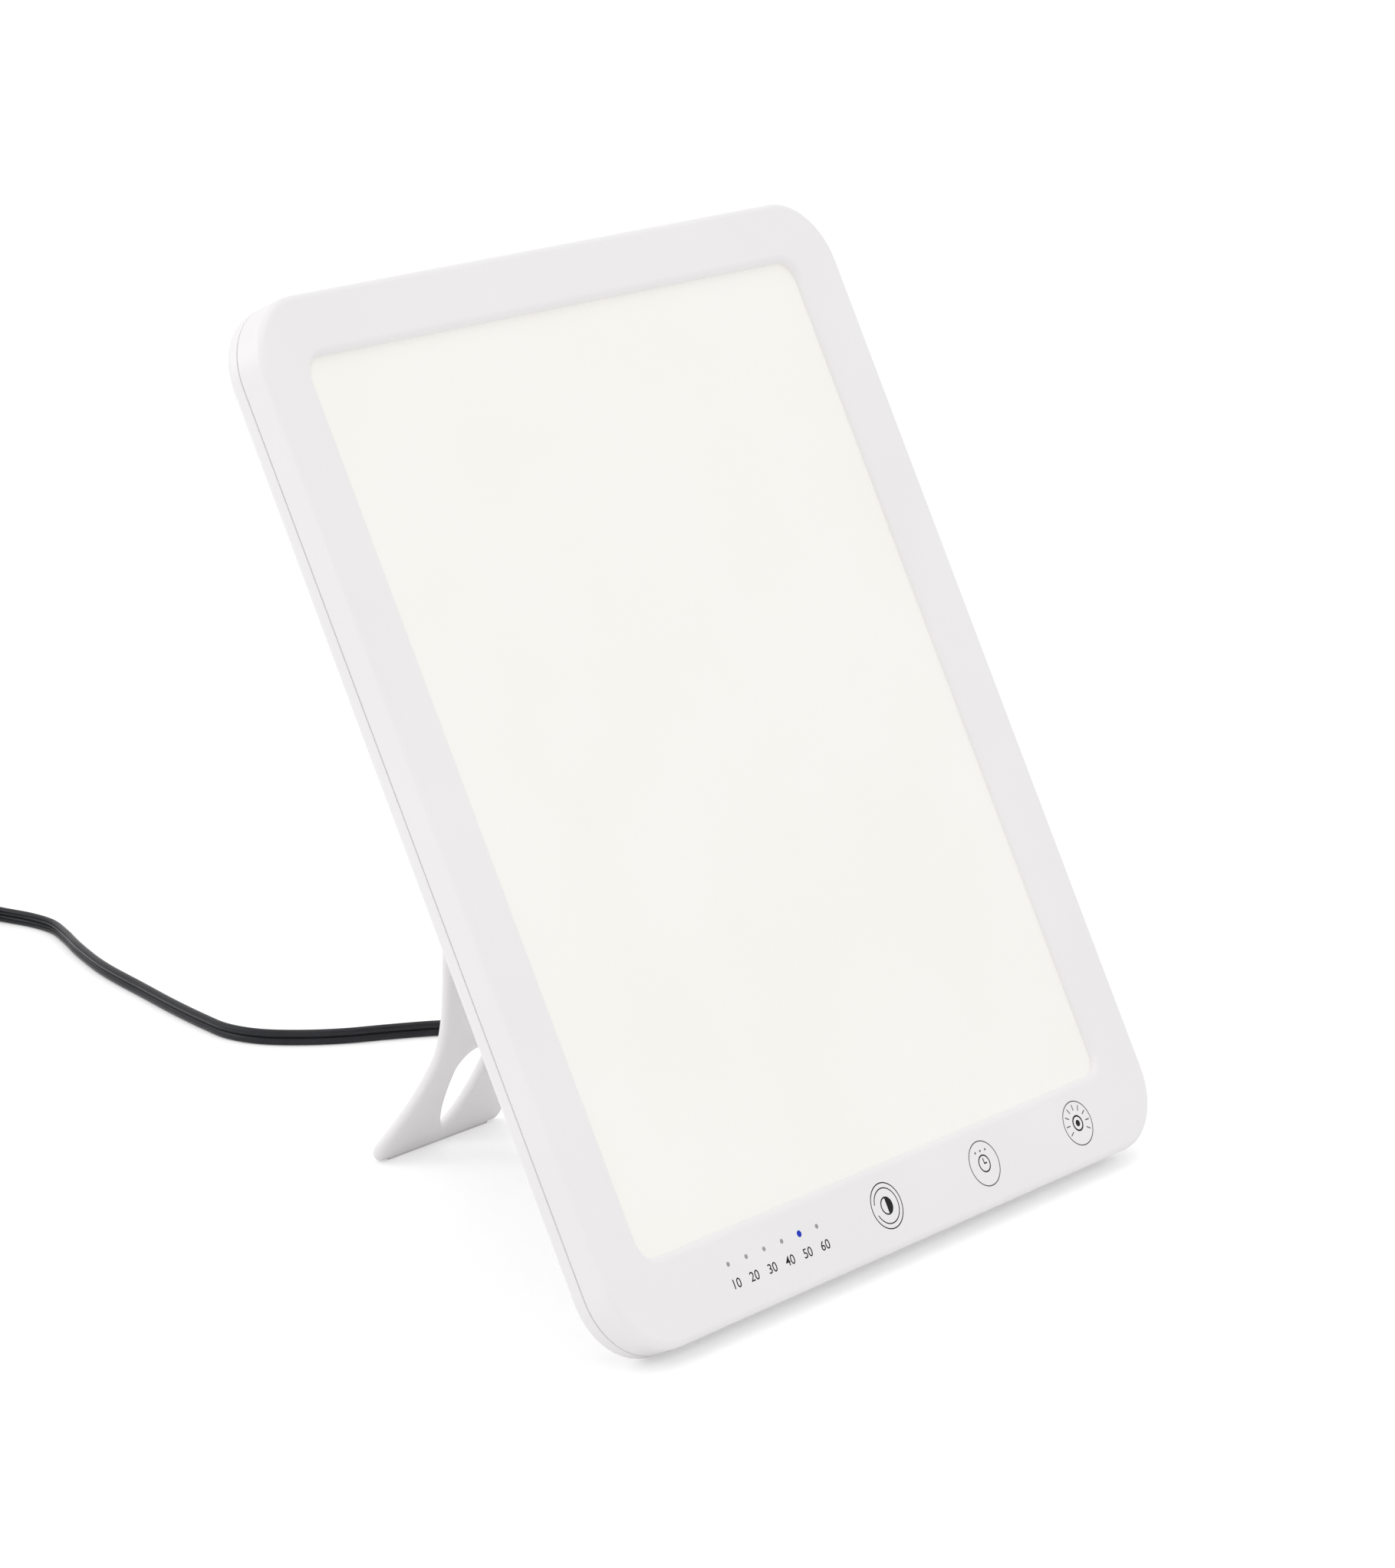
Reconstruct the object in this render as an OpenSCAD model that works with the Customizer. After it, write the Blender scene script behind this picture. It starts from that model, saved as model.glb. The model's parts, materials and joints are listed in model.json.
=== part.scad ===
// Light therapy lamp: a slim lit panel that leans back on a folding rear stand,
// fed by a flat twin lead from a plug-in supply.
// The panel is drawn lying on its back: x to the right, y up the panel,
// z out of the front face. It is then stood up against its lean.

/* [Panel] */
// Overall width of the panel
panel_w = 258; // [240:1:290]
// Overall height, measured up the panel
panel_h = 305; // [280:1:340]
// Overall thickness, front face to back
panel_t = 15; // [14:0.5:18]
// Corner radius seen from the front
corner_r = 21; // [16:1:28]
// Radius round the front edge
front_edge_r = 2; // [1:0.25:3]
// Radius round the back edge
back_edge_r = 2.5; // [1:0.25:3]
// Depth of the front shell, from its face to the seam
front_shell_d = 9.8; // [9.6:0.1:10.4]
// Open width of the seam between the shells
seam_gap = 0.5; // [0.3:0.1:0.8]
// Depth of the seam's groove, down to where the shells meet
seam_deep = 0.3; // [0.2:0.05:0.5]
// Side and back wall of both shells
wall = 2.2; // [1.8:0.1:2.6]
// Face wall of the front shell, which is also the depth of the window recess
face_wall = 2.5; // [2.2:0.1:3]
// Lean of the panel back from the vertical, degrees
lean = 26.5; // [22:0.25:30]

/* [Window] */
// Width of the bezel left of the window
left_rim = 17.6; // [17:0.1:22]
// Width of the bezel right of the window
right_rim = 20.4; // [17:0.1:24]
// Height of the bezel above the window
top_rim = 18.2; // [17:0.1:22]
// Height of the bezel below the window
chin_h = 24.8; // [24:0.2:28]
// Corner radius of the window
window_r = 6.5; // [4:0.5:10]
// Radius of the rounded lip of the window
lip_r = 2.2; // [1:0.1:2.2]

/* [Light stack] */
// How far the diffuser runs behind the bezel
overlap = 5; // [4:0.5:5.5]
// Thickness of the opal diffuser
diffuser_t = 2; // [1.5:0.1:2.2]
// Thickness of the prism film
film_t = 0.3; // [0.2:0.05:0.4]
// Thickness of the light guide plate
guide_t = 3; // [2.5:0.1:3.2]
// Thickness of the reflector sheet
reflector_t = 0.3; // [0.2:0.05:0.4]
// Thickness of the aluminium backplate
backplate_t = 1; // [0.8:0.1:1.2]
// Number of light sources along each side edge
led_count = 24; // [12:1:28]
// Thickness of the circuit boards beside the light guide
led_board_t = 1; // [0.8:0.1:1.2]

/* [Controls] */
// Height of the touch marks above the bottom edge
touch_h = 13; // [12:0.25:14]
// Distance of the last touch mark in from the right-hand edge
touch_in = 40.3; // [38:0.1:44]
// Spacing of the three touch marks
touch_pitch = 48.3; // [44:0.1:49]
// Radius of each sensing pad behind the bezel
touch_pad_r = 4.2; // [3:0.1:4.2]
// Height of the row of time lights above the bottom edge
light_h = 15.5; // [14.5:0.25:16]
// Distance of the first time light in from the left-hand edge
light_in = 48.7; // [45:0.1:51]
// Spacing of the time lights
light_pitch = 8.1; // [7:0.1:8.4]
// Radius of an unlit time light
light_r = 0.65; // [0.5:0.05:0.8]
// Radius of the lit time light
lit_r = 0.95; // [0.8:0.05:1]
// Thickness of the control board
board_t = 1.6; // [1:0.1:1.8]
// Depth from the back of the face wall to the control board
board_gap = 2.4; // [2:0.1:2.6]

/* [Stand] */
// Height of the hinge axis, measured up the panel
hinge_h = 182; // [172:1:188]
// Distance of the hinge axis behind the panel's back
hinge_off = 5; // [4.7:0.1:6]
// Angle between the panel's back and the open stand, degrees
open_angle = 54; // [48:1:58]
// Thickness of the stand plate
stand_t = 3.5; // [3:0.1:4]
// Half the width of the stand's foot
foot_half = 28.9; // [26:0.1:32]
// Half the width of the stand's neck
neck_half = 18.4; // [16:0.1:20]
// Half the width of the stand at its hinge
top_half = 56; // [55:0.5:62]
// Height of the neck up the stand
neck_up = 36; // [34:0.5:38]
// Half the width of the leaf-shaped opening
leaf_half = 7.15; // [5:0.05:8]
// Lowest point of the leaf-shaped opening up the stand
leaf_low = 7; // [6:0.25:9]
// Highest point of the leaf-shaped opening up the stand
leaf_high = 37.75; // [36:0.25:42]
// Radius of the hinge barrel
barrel_r = 3.8; // [3.4:0.1:4]
// Radius of the steel hinge pins
pin_r = 1.5; // [1.25:0.05:1.75]
// Distance of each hinge bracket in from the end of the hinge
bracket_in = 20; // [18:0.5:21]
// Width of each hinge bracket
bracket_w = 11; // [9:0.5:12]
// Thickness of the rubber pad under the stand's foot
pad_t = 0.8; // [0.6:0.1:1.2]
// Height of the case off the table, on its wedge pads
pad_lift = 0.4; // [0.3:0.1:0.8]

/* [Power] */
// Place of the power socket across the panel
jack_x = 46; // [44:0.5:52]
// Height of the power socket above the bottom edge
jack_h = 12; // [11.5:0.25:12.5]
// Width of the flat twin lead
lead_w = 5.2; // [5:0.1:5.4]
// Thickness of the flat twin lead
lead_t = 2.7; // [2.4:0.1:2.8]
// Length of each tapered strain relief
relief_l = 22; // [20:1:24]
// Length of the plug-in supply's body
supply_l = 60; // [56:1:70]
// Width of the plug-in supply's body
supply_w = 38; // [36:1:44]
// Height of the plug-in supply's body
supply_h = 26; // [24:1:30]

/* [Fits] */
// Gap round pieces that drop into place
fit = 0.15; // [0.1:0.05:0.2]
// Radial running gap of the hinge pins in the stand
pin_fit = 0.04; // [0.02:0.01:0.08]
// Gap each side of a friction washer
washer_gap = 0.1; // [0.05:0.05:0.15]
// Thickness of a friction washer
washer_t = 0.6; // [0.5:0.1:0.8]
// Gap left between the folding stand and what it swings past
swing_gap = 0.4; // [0.3:0.05:0.6]

/* [Hidden] */
$fn = 48;
eps = 0.01;

// Depths in the panel, front face at 0
diffuser_z = -face_wall;
film_z = diffuser_z - diffuser_t;
guide_z = film_z - film_t;
reflector_z = guide_z - guide_t;
backplate_z = reflector_z - reflector_t;
stack_z = backplate_z - backplate_t;
back_in_z = -panel_t + wall;
seam_front_z = -front_shell_d + seam_gap / 2;
seam_back_z = -front_shell_d - seam_gap / 2;
tongue_h = 2;
tongue_in = wall / 2;
board_z = -face_wall - board_gap;
board_back_z = board_z - board_t;

// Window and controls across the panel, from its middle
window_w = panel_w - left_rim - right_rim;
window_h = panel_h - chin_h - top_rim;
window_shift = (left_rim - right_rim) / 2;
touch_x = panel_w / 2 - touch_in - touch_pitch;
light_x = -panel_w / 2 + light_in;

// Light stack outline
guide_side = overlap - 1;
led_stand = 0.8;
led_gap = 0.2;
tray_side = guide_side + led_gap + led_stand + led_board_t;
flange_t = backplate_t;
locator_t = 1.2;
chips_end = 12;

// Control board outline and screws
board_lo = wall + 1;
board_hi = chin_h - overlap - 2;
board_end = 12;
board_screw_in = 9.4;
board_left = light_x - board_end;
board_right = touch_x + touch_pitch + board_end;
board_screw_x = [light_x - board_screw_in, touch_x - touch_pitch / 2,
    touch_x + touch_pitch / 2];
screw_r = 0.8;
board_post_r = 2.4;
screw_head_r = 1.8;
screw_head_t = 1.2;
light_count = 6;
lit_index = 4;
light_flange_r = 1.4;
light_flange_t = 0.8;
chip_t = 0.7;

// Case screws, in the rim outside the light stack
case_r = 1.25;
case_head_r = 2.6;
case_head_t = 1.1;
case_post_r = 3.1;
rim_left = window_shift - window_w / 2 - tray_side - flange_t;
rim_right = window_shift + window_w / 2 + tray_side + flange_t;
rim_top = chin_h + window_h + overlap;
case_left_x = (rim_left - panel_w / 2 + wall) / 2;
case_right_x = (rim_right + panel_w / 2 - wall) / 2;
case_top_y = (rim_top + locator_t + fit + panel_h - wall) / 2;
case_low_y = wall + case_post_r + 2;
case_low_x = panel_w / 2 - 14;
case_top_x = panel_w / 2 - 17;
case_spots = [[-case_low_x, case_low_y], [case_low_x, case_low_y],
    [-case_top_x, case_top_y], [case_top_x, case_top_y],
    [case_left_x, panel_h / 2], [case_right_x, panel_h / 2]];

// Standing the panel up
lift = pad_lift + back_edge_r + (panel_t - back_edge_r) * sin(lean) - back_edge_r * cos(lean);
stand_lean = open_angle - lean;
pivot_z = -panel_t - hinge_off;
pivot_up = hinge_h * cos(lean) + pivot_z * sin(lean) + lift;
pivot_back = hinge_h * sin(lean) - pivot_z * cos(lean);
stand_l = pivot_up / cos(stand_lean);
foot_back = pivot_back + pivot_up * tan(stand_lean) + stand_t / 2 / cos(stand_lean);
front_y = front_edge_r * (sin(lean) + cos(lean) - 1);
mid_y = (front_y + foot_back) / 2;

// Hinge
bracket_x = top_half - bracket_in;
notch_half = bracket_w / 2 + washer_t + 2 * washer_gap;
washer_r = barrel_r - 0.4;
pin_in = bracket_x - notch_half - 8;
pin_out = top_half - 2;
bracket_base_t = 2;
bracket_up = 30;
hinge_screw_r = 1.25;
hinge_head_r = 2.6;
hinge_head_t = 1.6;
hinge_screw_up = 15;
hinge_screw_pitch = 9;
hinge_screw_y = [hinge_h + hinge_screw_up, hinge_h + hinge_screw_up + hinge_screw_pitch];
hinge_boss_r = 3;
hinge_boss_z = stack_z - 0.9;
pad_x = 95;
pad_l = 14;
pad_front_z = -panel_t + 0.88 * back_edge_r;
pad_back_z = -panel_t + 0.16 * back_edge_r;
stop_reach = 6.6;
stop_t = 2;
stop_half = bracket_x - 12;
stop_turn = acos((hinge_off - 0.2) / stop_reach);
shoulder_up = 132;
foot_r = 4;
foot_swell = 0.6;
ankle_in = 1.7;
ankle_up = 8;
ankle = [foot_half - ankle_in, ankle_up];
neck_pull = 12;
flare_pull = 20;
shoulder_pull = 28;
leaf_tip = 0.6;
leaf_belly = 13;

// Power socket and plug
jack_w = 9;
jack_nose_r = 4;
socket_r = 2.75;
socket_deep = 7;
contact_r = 1;
plug_gap = 0.2;
stub_r = 4.7;
stub_l = 10;
arm_r = 4.3;
arm_l = 17;
arm_z = -panel_t - plug_gap - stub_l / 2 - 0.4;
relief_r = 3.9;
relief_tip_r = 3;
exit_x = jack_x + arm_l + relief_l;
exit_y = jack_h * sin(lean) - arm_z * cos(lean) - mid_y;
exit_z = jack_h * cos(lean) + arm_z * sin(lean) + lift;

// Lead on the table, from the plug's strain relief to the coil. It stands on edge.
route = [[95, -68.5, 7.7], [102, -68, 6.9], [111, -65, 5.1], [119, -60, 3.6],
    [126, -53, 2.8], [131, -43, 2.6], [134, -31, 2.6], [135, -17, 2.6], [134, 0, 2.6],
    [131, 20, 2.6], [127, 42, 2.6], [122, 65, 2.6], [117, 87, 2.6], [111, 109, 2.6],
    [104, 129, 2.6], [95, 146, 2.6], [84, 159, 2.6], [71, 169, 2.6], [58, 178, 2.6],
    [48, 188, 2.6], [41, 199, 2.6], [39, 211, 2.6], [42, 224, 2.6], [48, 243, 2.6],
    [56, 265, 2.6], [66, 292, 2.6], [77, 314, 2.6], [87, 331, 2.6], [93, 343, 2.6],
    [94.5, 355, 2.6], [93, 368, 2.7], [92, 380, 3]];

// Coil of the length that is put away
coil_c = [58, 402];
coil_r = 34;
coil_pitch = lead_t + 0.7;
coil_in_turns = 3.25;
coil_out_turns = 3.5;
coil_dip = 0.6;
tie_w = 6;
tie_t = 0.5;
tie_gap = 0.1;
coil_low = tie_t + tie_gap + lead_w / 2;
coil_rise = lead_w + 0.5;
coil_inner = coil_r - coil_in_turns * coil_pitch;
coil_rings = 24;
coil_a1 = 360 * coil_in_turns;
coil_a2 = coil_a1 + 180;
coil_a3 = coil_a2 + 360 * coil_out_turns;
tail_l = 18;

// Plug-in supply, lying with its blades up
supply_r = 5;
supply_edge = 1.5;
supply_split = 0.55;
supply_x = coil_c[0] - tail_l - relief_l;
supply_y = coil_c[1] + coil_inner + coil_out_turns * coil_pitch;
lead_top_z = coil_low + coil_rise;
blade_pitch = 12.7;
blade_w = 6.4;
blade_t = 1.5;
blade_l = 17;

// ---- Shapes that repeat ----

module rounded_rect(w, h, r) {
    translate([-w / 2 + r, 0]) square([w - 2 * r, h]);
    translate([-w / 2, r]) square([w, h - 2 * r]);
    for (x = [-w / 2 + r, w / 2 - r], y = [r, h - r]) translate([x, y]) circle(r);
}

module plate(w, h, r, t) {
    translate([0, 0, -t]) linear_extrude(t) rounded_rect(w, h, r);
}

// Cross-section of a board of length len, thickness t, with rounded front and back edges
module edge_section(len, t, front_r, back_r) {
    translate([-len / 2, -t + back_r]) square([len, t - front_r - back_r]);
    translate([-len / 2 + front_r, -t / 2]) square([len - 2 * front_r, t / 2]);
    translate([-len / 2 + back_r, -t]) square([len - 2 * back_r, t / 2]);
    for (s = [-1, 1]) {
        if (front_r > 0) translate([s * (len / 2 - front_r), -front_r]) circle(front_r);
        if (back_r > 0) translate([s * (len / 2 - back_r), -t + back_r]) circle(back_r);
    }
}

// A board with rounded corners and rounded front and back edges
module slab(w, h, r, t, front_r, back_r) {
    translate([0, h - r, 0]) rotate([90, 0, 0])
        linear_extrude(h - 2 * r) edge_section(w, t, front_r, back_r);
    translate([-w / 2 + r, h / 2, 0]) rotate([90, 0, 90])
        linear_extrude(w - 2 * r) edge_section(h, t, front_r, back_r);
    for (x = [-w / 2 + r, w / 2 - r], y = [r, h - r])
        translate([x, y, 0]) rotate_extrude() intersection() {
            edge_section(2 * r, t, front_r, back_r);
            translate([0, -t]) square([r, t]);
        }
}

// What is cut away to round the window's lip
module lip_section() {
    difference() {
        translate([-1, -lip_r]) square([lip_r + 1, lip_r + 1]);
        translate([lip_r, -lip_r]) circle(lip_r);
        translate([lip_r, -lip_r]) square([1, lip_r]);
    }
}

module lip_cutter(w, h, r) {
    for (s = [0, 1]) mirror([s, 0, 0])
        translate([w / 2, h - r, 0]) rotate([90, 0, 0])
            linear_extrude(h - 2 * r) lip_section();
    for (s = [0, 1]) translate([0, h / 2, 0]) mirror([0, s, 0])
        translate([-w / 2 + r, h / 2, 0]) rotate([90, 0, 90])
            linear_extrude(w - 2 * r) lip_section();
    for (x = [-w / 2 + r, w / 2 - r], y = [r, h - r])
        translate([x, y, 0]) rotate_extrude() translate([r, 0]) lip_section();
}

module rod(r, z0, z1) {
    translate([0, 0, min(z0, z1)]) cylinder(r = r, h = abs(z1 - z0));
}

// Stands the panel on the table, leaning back
module on_panel() {
    translate([0, -mid_y, lift]) rotate([90 - lean, 0, 0]) children();
}

// Carries a piece drawn in the stand's plane: y up the stand from the table,
// z out of its back, hinge axis at y = stand_l
module on_stand() {
    translate([0, pivot_back - mid_y, pivot_up])
        rotate([stand_lean + 90, 0, 0]) translate([0, -stand_l, 0])
            mirror([0, 0, 1]) children();
}

// Points of a cubic curve from a to d with handles b and c
function curve(a, b, c, d, n) = [for (i = [0 : n - 1]) let (t = i / n, u = 1 - t)
    u * u * u * a + 3 * u * u * t * b + 3 * u * t * t * c + t * t * t * d];
function flip(p) = [for (i = [len(p) - 1 : -1 : 0]) [-p[i][0], p[i][1]]];

// ---- Panel ----

module front_bezel() {
    on_panel() color([0.93, 0.93, 0.925]) difference() {
        union() {
            difference() {
                slab(panel_w, panel_h, corner_r, -seam_front_z, front_edge_r, 0);
                translate([0, wall, -face_wall])
                    plate(panel_w - 2 * wall, panel_h - 2 * wall, corner_r - wall, panel_t);
                translate([0, tongue_in, seam_front_z + tongue_h])
                    plate(panel_w - 2 * tongue_in, panel_h - 2 * tongue_in,
                        corner_r - tongue_in, panel_t);
            }
            stack_locator();
            for (p = case_spots) translate(p) rod(case_post_r, -face_wall + eps, seam_front_z);
            for (x = board_screw_x) translate([x, touch_h])
                rod(board_post_r, -face_wall + eps, board_z);
        }
        translate([window_shift, chin_h, 1]) plate(window_w, window_h, window_r, panel_t);
        translate([window_shift, chin_h, 0]) lip_cutter(window_w, window_h, window_r);
        for (i = [0 : light_count - 1]) translate([light_x + i * light_pitch, light_h])
            rod((i == lit_index ? lit_r : light_r) + 0.03, 1, -face_wall - 1);
        for (p = case_spots) translate(p) rod(case_r + 0.05, -4, -panel_t);
        for (x = board_screw_x) translate([x, touch_h])
            rod(screw_r + 0.05, board_z + 2.2, -panel_t);
    }
}

// Rib that keeps the light stack in its place behind the window
module stack_locator() {
    side = overlap + fit;
    difference() {
        translate([window_shift, chin_h - side - locator_t, -face_wall + eps])
            linear_height(window_w + 2 * side + 2 * locator_t,
                window_h + 2 * side + 2 * locator_t, diffuser_t - 0.1);
        translate([window_shift, chin_h - side, 0])
            linear_height(window_w + 2 * side, window_h + 2 * side, panel_t);
    }
}

module linear_height(w, h, t) {
    translate([-w / 2, 0, -t]) cube([w, h, t]);
}

module rear_cover() {
    on_panel() color([0.93, 0.93, 0.925]) difference() {
        union() {
            difference() {
                union() {
                    translate([0, 0, seam_back_z])
                        slab(panel_w, panel_h, corner_r, panel_t + seam_back_z, 0, back_edge_r);
                    translate([0, seam_deep, seam_front_z])
                        plate(panel_w - 2 * seam_deep, panel_h - 2 * seam_deep,
                            corner_r - seam_deep, seam_gap + eps);
                }
                translate([0, wall, 0])
                    plate(panel_w - 2 * wall, panel_h - 2 * wall, corner_r - wall,
                        panel_t - wall);
            }
            tongue();
            for (p = case_spots) translate(p)
                rod(case_post_r, seam_front_z, back_in_z - eps);
            for (s = [-1, 1], y = hinge_screw_y) translate([s * bracket_x, y])
                rod(hinge_boss_r, hinge_boss_z, back_in_z - eps);
        }
        for (p = case_spots) translate(p) {
            rod(case_r + fit, 0, -panel_t - 1);
            rod(case_head_r + fit, -panel_t + case_head_t + 0.1, -panel_t - 1);
        }
        for (s = [-1, 1], y = hinge_screw_y) translate([s * bracket_x, y])
            rod(hinge_screw_r + 0.05, hinge_boss_z + 1, -panel_t - 1);
        translate([jack_x, jack_h]) rod(jack_nose_r + fit, 0, -panel_t - 1);
    }
}

// Tongue of the rear cover that sits inside the front shell's rim
module tongue() {
    off = tongue_in + fit;
    difference() {
        translate([0, off, seam_front_z + tongue_h - 0.1])
            plate(panel_w - 2 * off, panel_h - 2 * off, corner_r - off,
                seam_front_z - seam_back_z + tongue_h + 0.4);
        translate([0, wall, panel_t])
            plate(panel_w - 2 * wall, panel_h - 2 * wall, corner_r - wall, 3 * panel_t);
    }
}

// One flat sheet of the light stack, reaching side past the window
module stack_sheet(side, z, t) {
    on_panel() translate([window_shift, chin_h - side, z])
        linear_height(window_w + 2 * side, window_h + 2 * side, t);
}

module diffuser_panel() {
    color([0.97, 0.96, 0.93]) stack_sheet(overlap, diffuser_z, diffuser_t);
}

module prism_film() {
    color([0.85, 0.88, 0.9]) stack_sheet(guide_side, film_z, film_t);
}

module light_guide() {
    color([0.8, 0.9, 0.95]) stack_sheet(guide_side, guide_z, guide_t);
}

module reflector_sheet() {
    color([0.98, 0.98, 0.98]) stack_sheet(guide_side, reflector_z, reflector_t);
}

module backplate() {
    color([0.75, 0.76, 0.78]) {
        on_panel() translate([window_shift, chin_h - guide_side, backplate_z])
            linear_height(window_w + 2 * (tray_side + flange_t),
                window_h + 2 * guide_side, backplate_t);
        on_panel() for (s = [-1, 1])
            translate([window_shift + s * (window_w / 2 + tray_side + flange_t / 2),
                chin_h - guide_side, film_z - fit])
                linear_height(flange_t, window_h + 2 * guide_side,
                    film_z - fit - backplate_z + backplate_t / 2);
    }
}

// Circuit strip that stands along one side edge of the light guide
module led_board(s) {
    color([0.95, 0.95, 0.9]) on_panel()
        translate([window_shift + s * (window_w / 2 + tray_side - led_board_t / 2),
            chin_h - guide_side, film_z - fit])
            linear_height(led_board_t, window_h + 2 * guide_side,
                film_z - fit - backplate_z);
}

module led_board_left() { led_board(-1); }

module led_board_right() { led_board(1); }

module led_chips() {
    run = window_h + 2 * guide_side - 2 * chips_end;
    chip_x = window_w / 2 + guide_side + led_gap + led_stand / 2;
    color([0.98, 0.9, 0.5]) on_panel() for (s = [-1, 1], i = [0 : led_count - 1])
        translate([window_shift + s * chip_x,
            chin_h - guide_side + chips_end + run * i / (led_count - 1) - 1.5,
            guide_z - fit])
            linear_height(led_stand, 3, guide_t - 2 * fit);
}

// Foam strips that press the stack forward off the rear cover
module stack_foam() {
    color([0.35, 0.35, 0.36]) on_panel() for (s = [-1, 1])
        translate([s * panel_w * 0.32, chin_h, stack_z])
            linear_height(10, window_h, stack_z - back_in_z);
}

module control_board() {
    color([0.1, 0.35, 0.2]) on_panel() difference() {
        translate([board_left, board_lo, board_back_z])
            cube([board_right - board_left, board_hi - board_lo, board_t]);
        for (x = board_screw_x) translate([x, touch_h])
            rod(screw_r + fit, 0, -panel_t);
    }
}

module touch_pads() {
    color([0.3, 0.3, 0.32]) on_panel() for (i = [-1 : 1])
        translate([touch_x + i * touch_pitch, touch_h])
            rod(touch_pad_r, -face_wall, board_z);
}

module time_light_leds() {
    color([0.9, 0.9, 0.85]) on_panel() for (i = [0 : light_count - 1])
        translate([light_x + i * light_pitch - 0.8, light_h - 0.8, board_z])
            cube([1.6, 1.6, chip_t]);
}

// Light pipe with a flange behind the bezel's face
module light_pipe(i, r) {
    on_panel() translate([light_x + i * light_pitch, light_h]) {
        rod(r, 0, board_z + chip_t);
        rod(light_flange_r, -face_wall, -face_wall - light_flange_t);
    }
}

module time_lights() {
    color([0.72, 0.72, 0.72]) for (i = [0 : light_count - 1])
        if (i != lit_index) light_pipe(i, light_r);
}

module lit_time_light() {
    color([0.1, 0.25, 0.8]) light_pipe(lit_index, lit_r);
}

module board_screws() {
    color([0.7, 0.7, 0.72]) on_panel() for (x = board_screw_x) translate([x, touch_h]) {
        rod(screw_r, board_z + 2, board_back_z);
        difference() {
            rod(screw_head_r, board_back_z, board_back_z - screw_head_t);
            cross_slot(screw_head_r, board_back_z - screw_head_t, 0.5);
        }
    }
}

// Cross recess cut into a screw head whose top is at z
module cross_slot(r, z, deep) {
    for (a = [0, 90]) rotate([0, 0, a])
        translate([-0.7 * r, -0.12 * r, z - eps]) cube([1.4 * r, 0.24 * r, deep]);
}

module dc_jack() {
    color([0.08, 0.08, 0.09]) on_panel() translate([jack_x, jack_h]) {
        difference() {
            union() {
                translate([-jack_w / 2, -jack_w / 2, back_in_z + fit])
                    cube([jack_w, jack_w, board_back_z - back_in_z - fit]);
                rod(jack_nose_r, back_in_z + 2 * fit, -panel_t);
            }
            rod(socket_r, -panel_t + socket_deep, -panel_t - 1);
        }
        rod(contact_r, -panel_t + socket_deep + eps, -panel_t + 0.6);
    }
}

module case_screws() {
    color([0.7, 0.7, 0.72]) on_panel() for (p = case_spots) translate(p) {
        rod(case_r, -4.5, -panel_t + case_head_t);
        difference() {
            rod(case_head_r, -panel_t + case_head_t, -panel_t);
            cross_slot(case_head_r, -panel_t, 0.6);
        }
    }
}

// Wedge pads under the rounded back edge, cut level with the table
module bottom_pads() {
    color([0.85, 0.85, 0.85]) intersection() {
        on_panel() for (s = [-1, 1])
            translate([s * pad_x - pad_l / 2, 0, 0]) rotate([90, 0, 90])
                linear_extrude(pad_l) pad_section();
        translate([-panel_w, -panel_h, 0]) cube([2 * panel_w, 2 * panel_h, panel_h]);
    }
}

module pad_section() {
    difference() {
        translate([-back_edge_r, pad_back_z])
            square([2 * back_edge_r, pad_front_z - pad_back_z]);
        translate([back_edge_r, -panel_t + back_edge_r]) circle(back_edge_r);
    }
}

// ---- Hinge ----

// Bracket drawn in the panel's side view and given its width
module hinge_bracket(s) {
    color([0.92, 0.92, 0.915]) on_panel() difference() {
        translate([s * bracket_x - bracket_w / 2, 0, 0]) rotate([90, 0, 90])
            linear_extrude(bracket_w) {
                translate([hinge_h, pivot_z]) circle(barrel_r);
                translate([hinge_h, pivot_z]) square([barrel_r + 2, hinge_off]);
                translate([hinge_h - barrel_r, pivot_z]) square([barrel_r + 1, hinge_off]);
                translate([hinge_h, -panel_t - bracket_base_t])
                    square([bracket_up, bracket_base_t]);
            }
        translate([s * bracket_x - bracket_w, hinge_h, pivot_z]) rotate([0, 90, 0])
            cylinder(r = pin_r, h = 2 * bracket_w);
        for (y = hinge_screw_y) translate([s * bracket_x, y])
            rod(hinge_screw_r + fit, 0, -2 * panel_t);
    }
}

module hinge_bracket_left() { hinge_bracket(-1); }

module hinge_bracket_right() { hinge_bracket(1); }

module hinge_screws() {
    top = -panel_t - bracket_base_t;
    color([0.7, 0.7, 0.72]) on_panel() for (s = [-1, 1], y = hinge_screw_y)
        translate([s * bracket_x, y]) {
            rod(hinge_screw_r, hinge_boss_z - 0.6, top);
            difference() {
                rod(hinge_head_r, top, top - hinge_head_t);
                cross_slot(hinge_head_r, top - hinge_head_t, 0.8);
            }
        }
}

module hinge_pins() {
    color([0.72, 0.73, 0.75]) on_panel() for (s = [-1, 1])
        translate([s > 0 ? pin_in : -pin_out, hinge_h, pivot_z]) rotate([0, 90, 0])
            cylinder(r = pin_r, h = pin_out - pin_in);
}

module friction_washers() {
    color([0.6, 0.6, 0.62]) on_panel() for (s = [-1, 1], k = [-1, 1])
        translate([s * bracket_x + k * (bracket_w / 2 + washer_gap + washer_t / 2)
            - washer_t / 2, hinge_h, pivot_z]) rotate([0, 90, 0]) difference() {
                cylinder(r = washer_r, h = washer_t);
                translate([0, 0, -1]) cylinder(r = pin_r + 0.05, h = washer_t + 2);
            }
}

// ---- Stand ----

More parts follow.
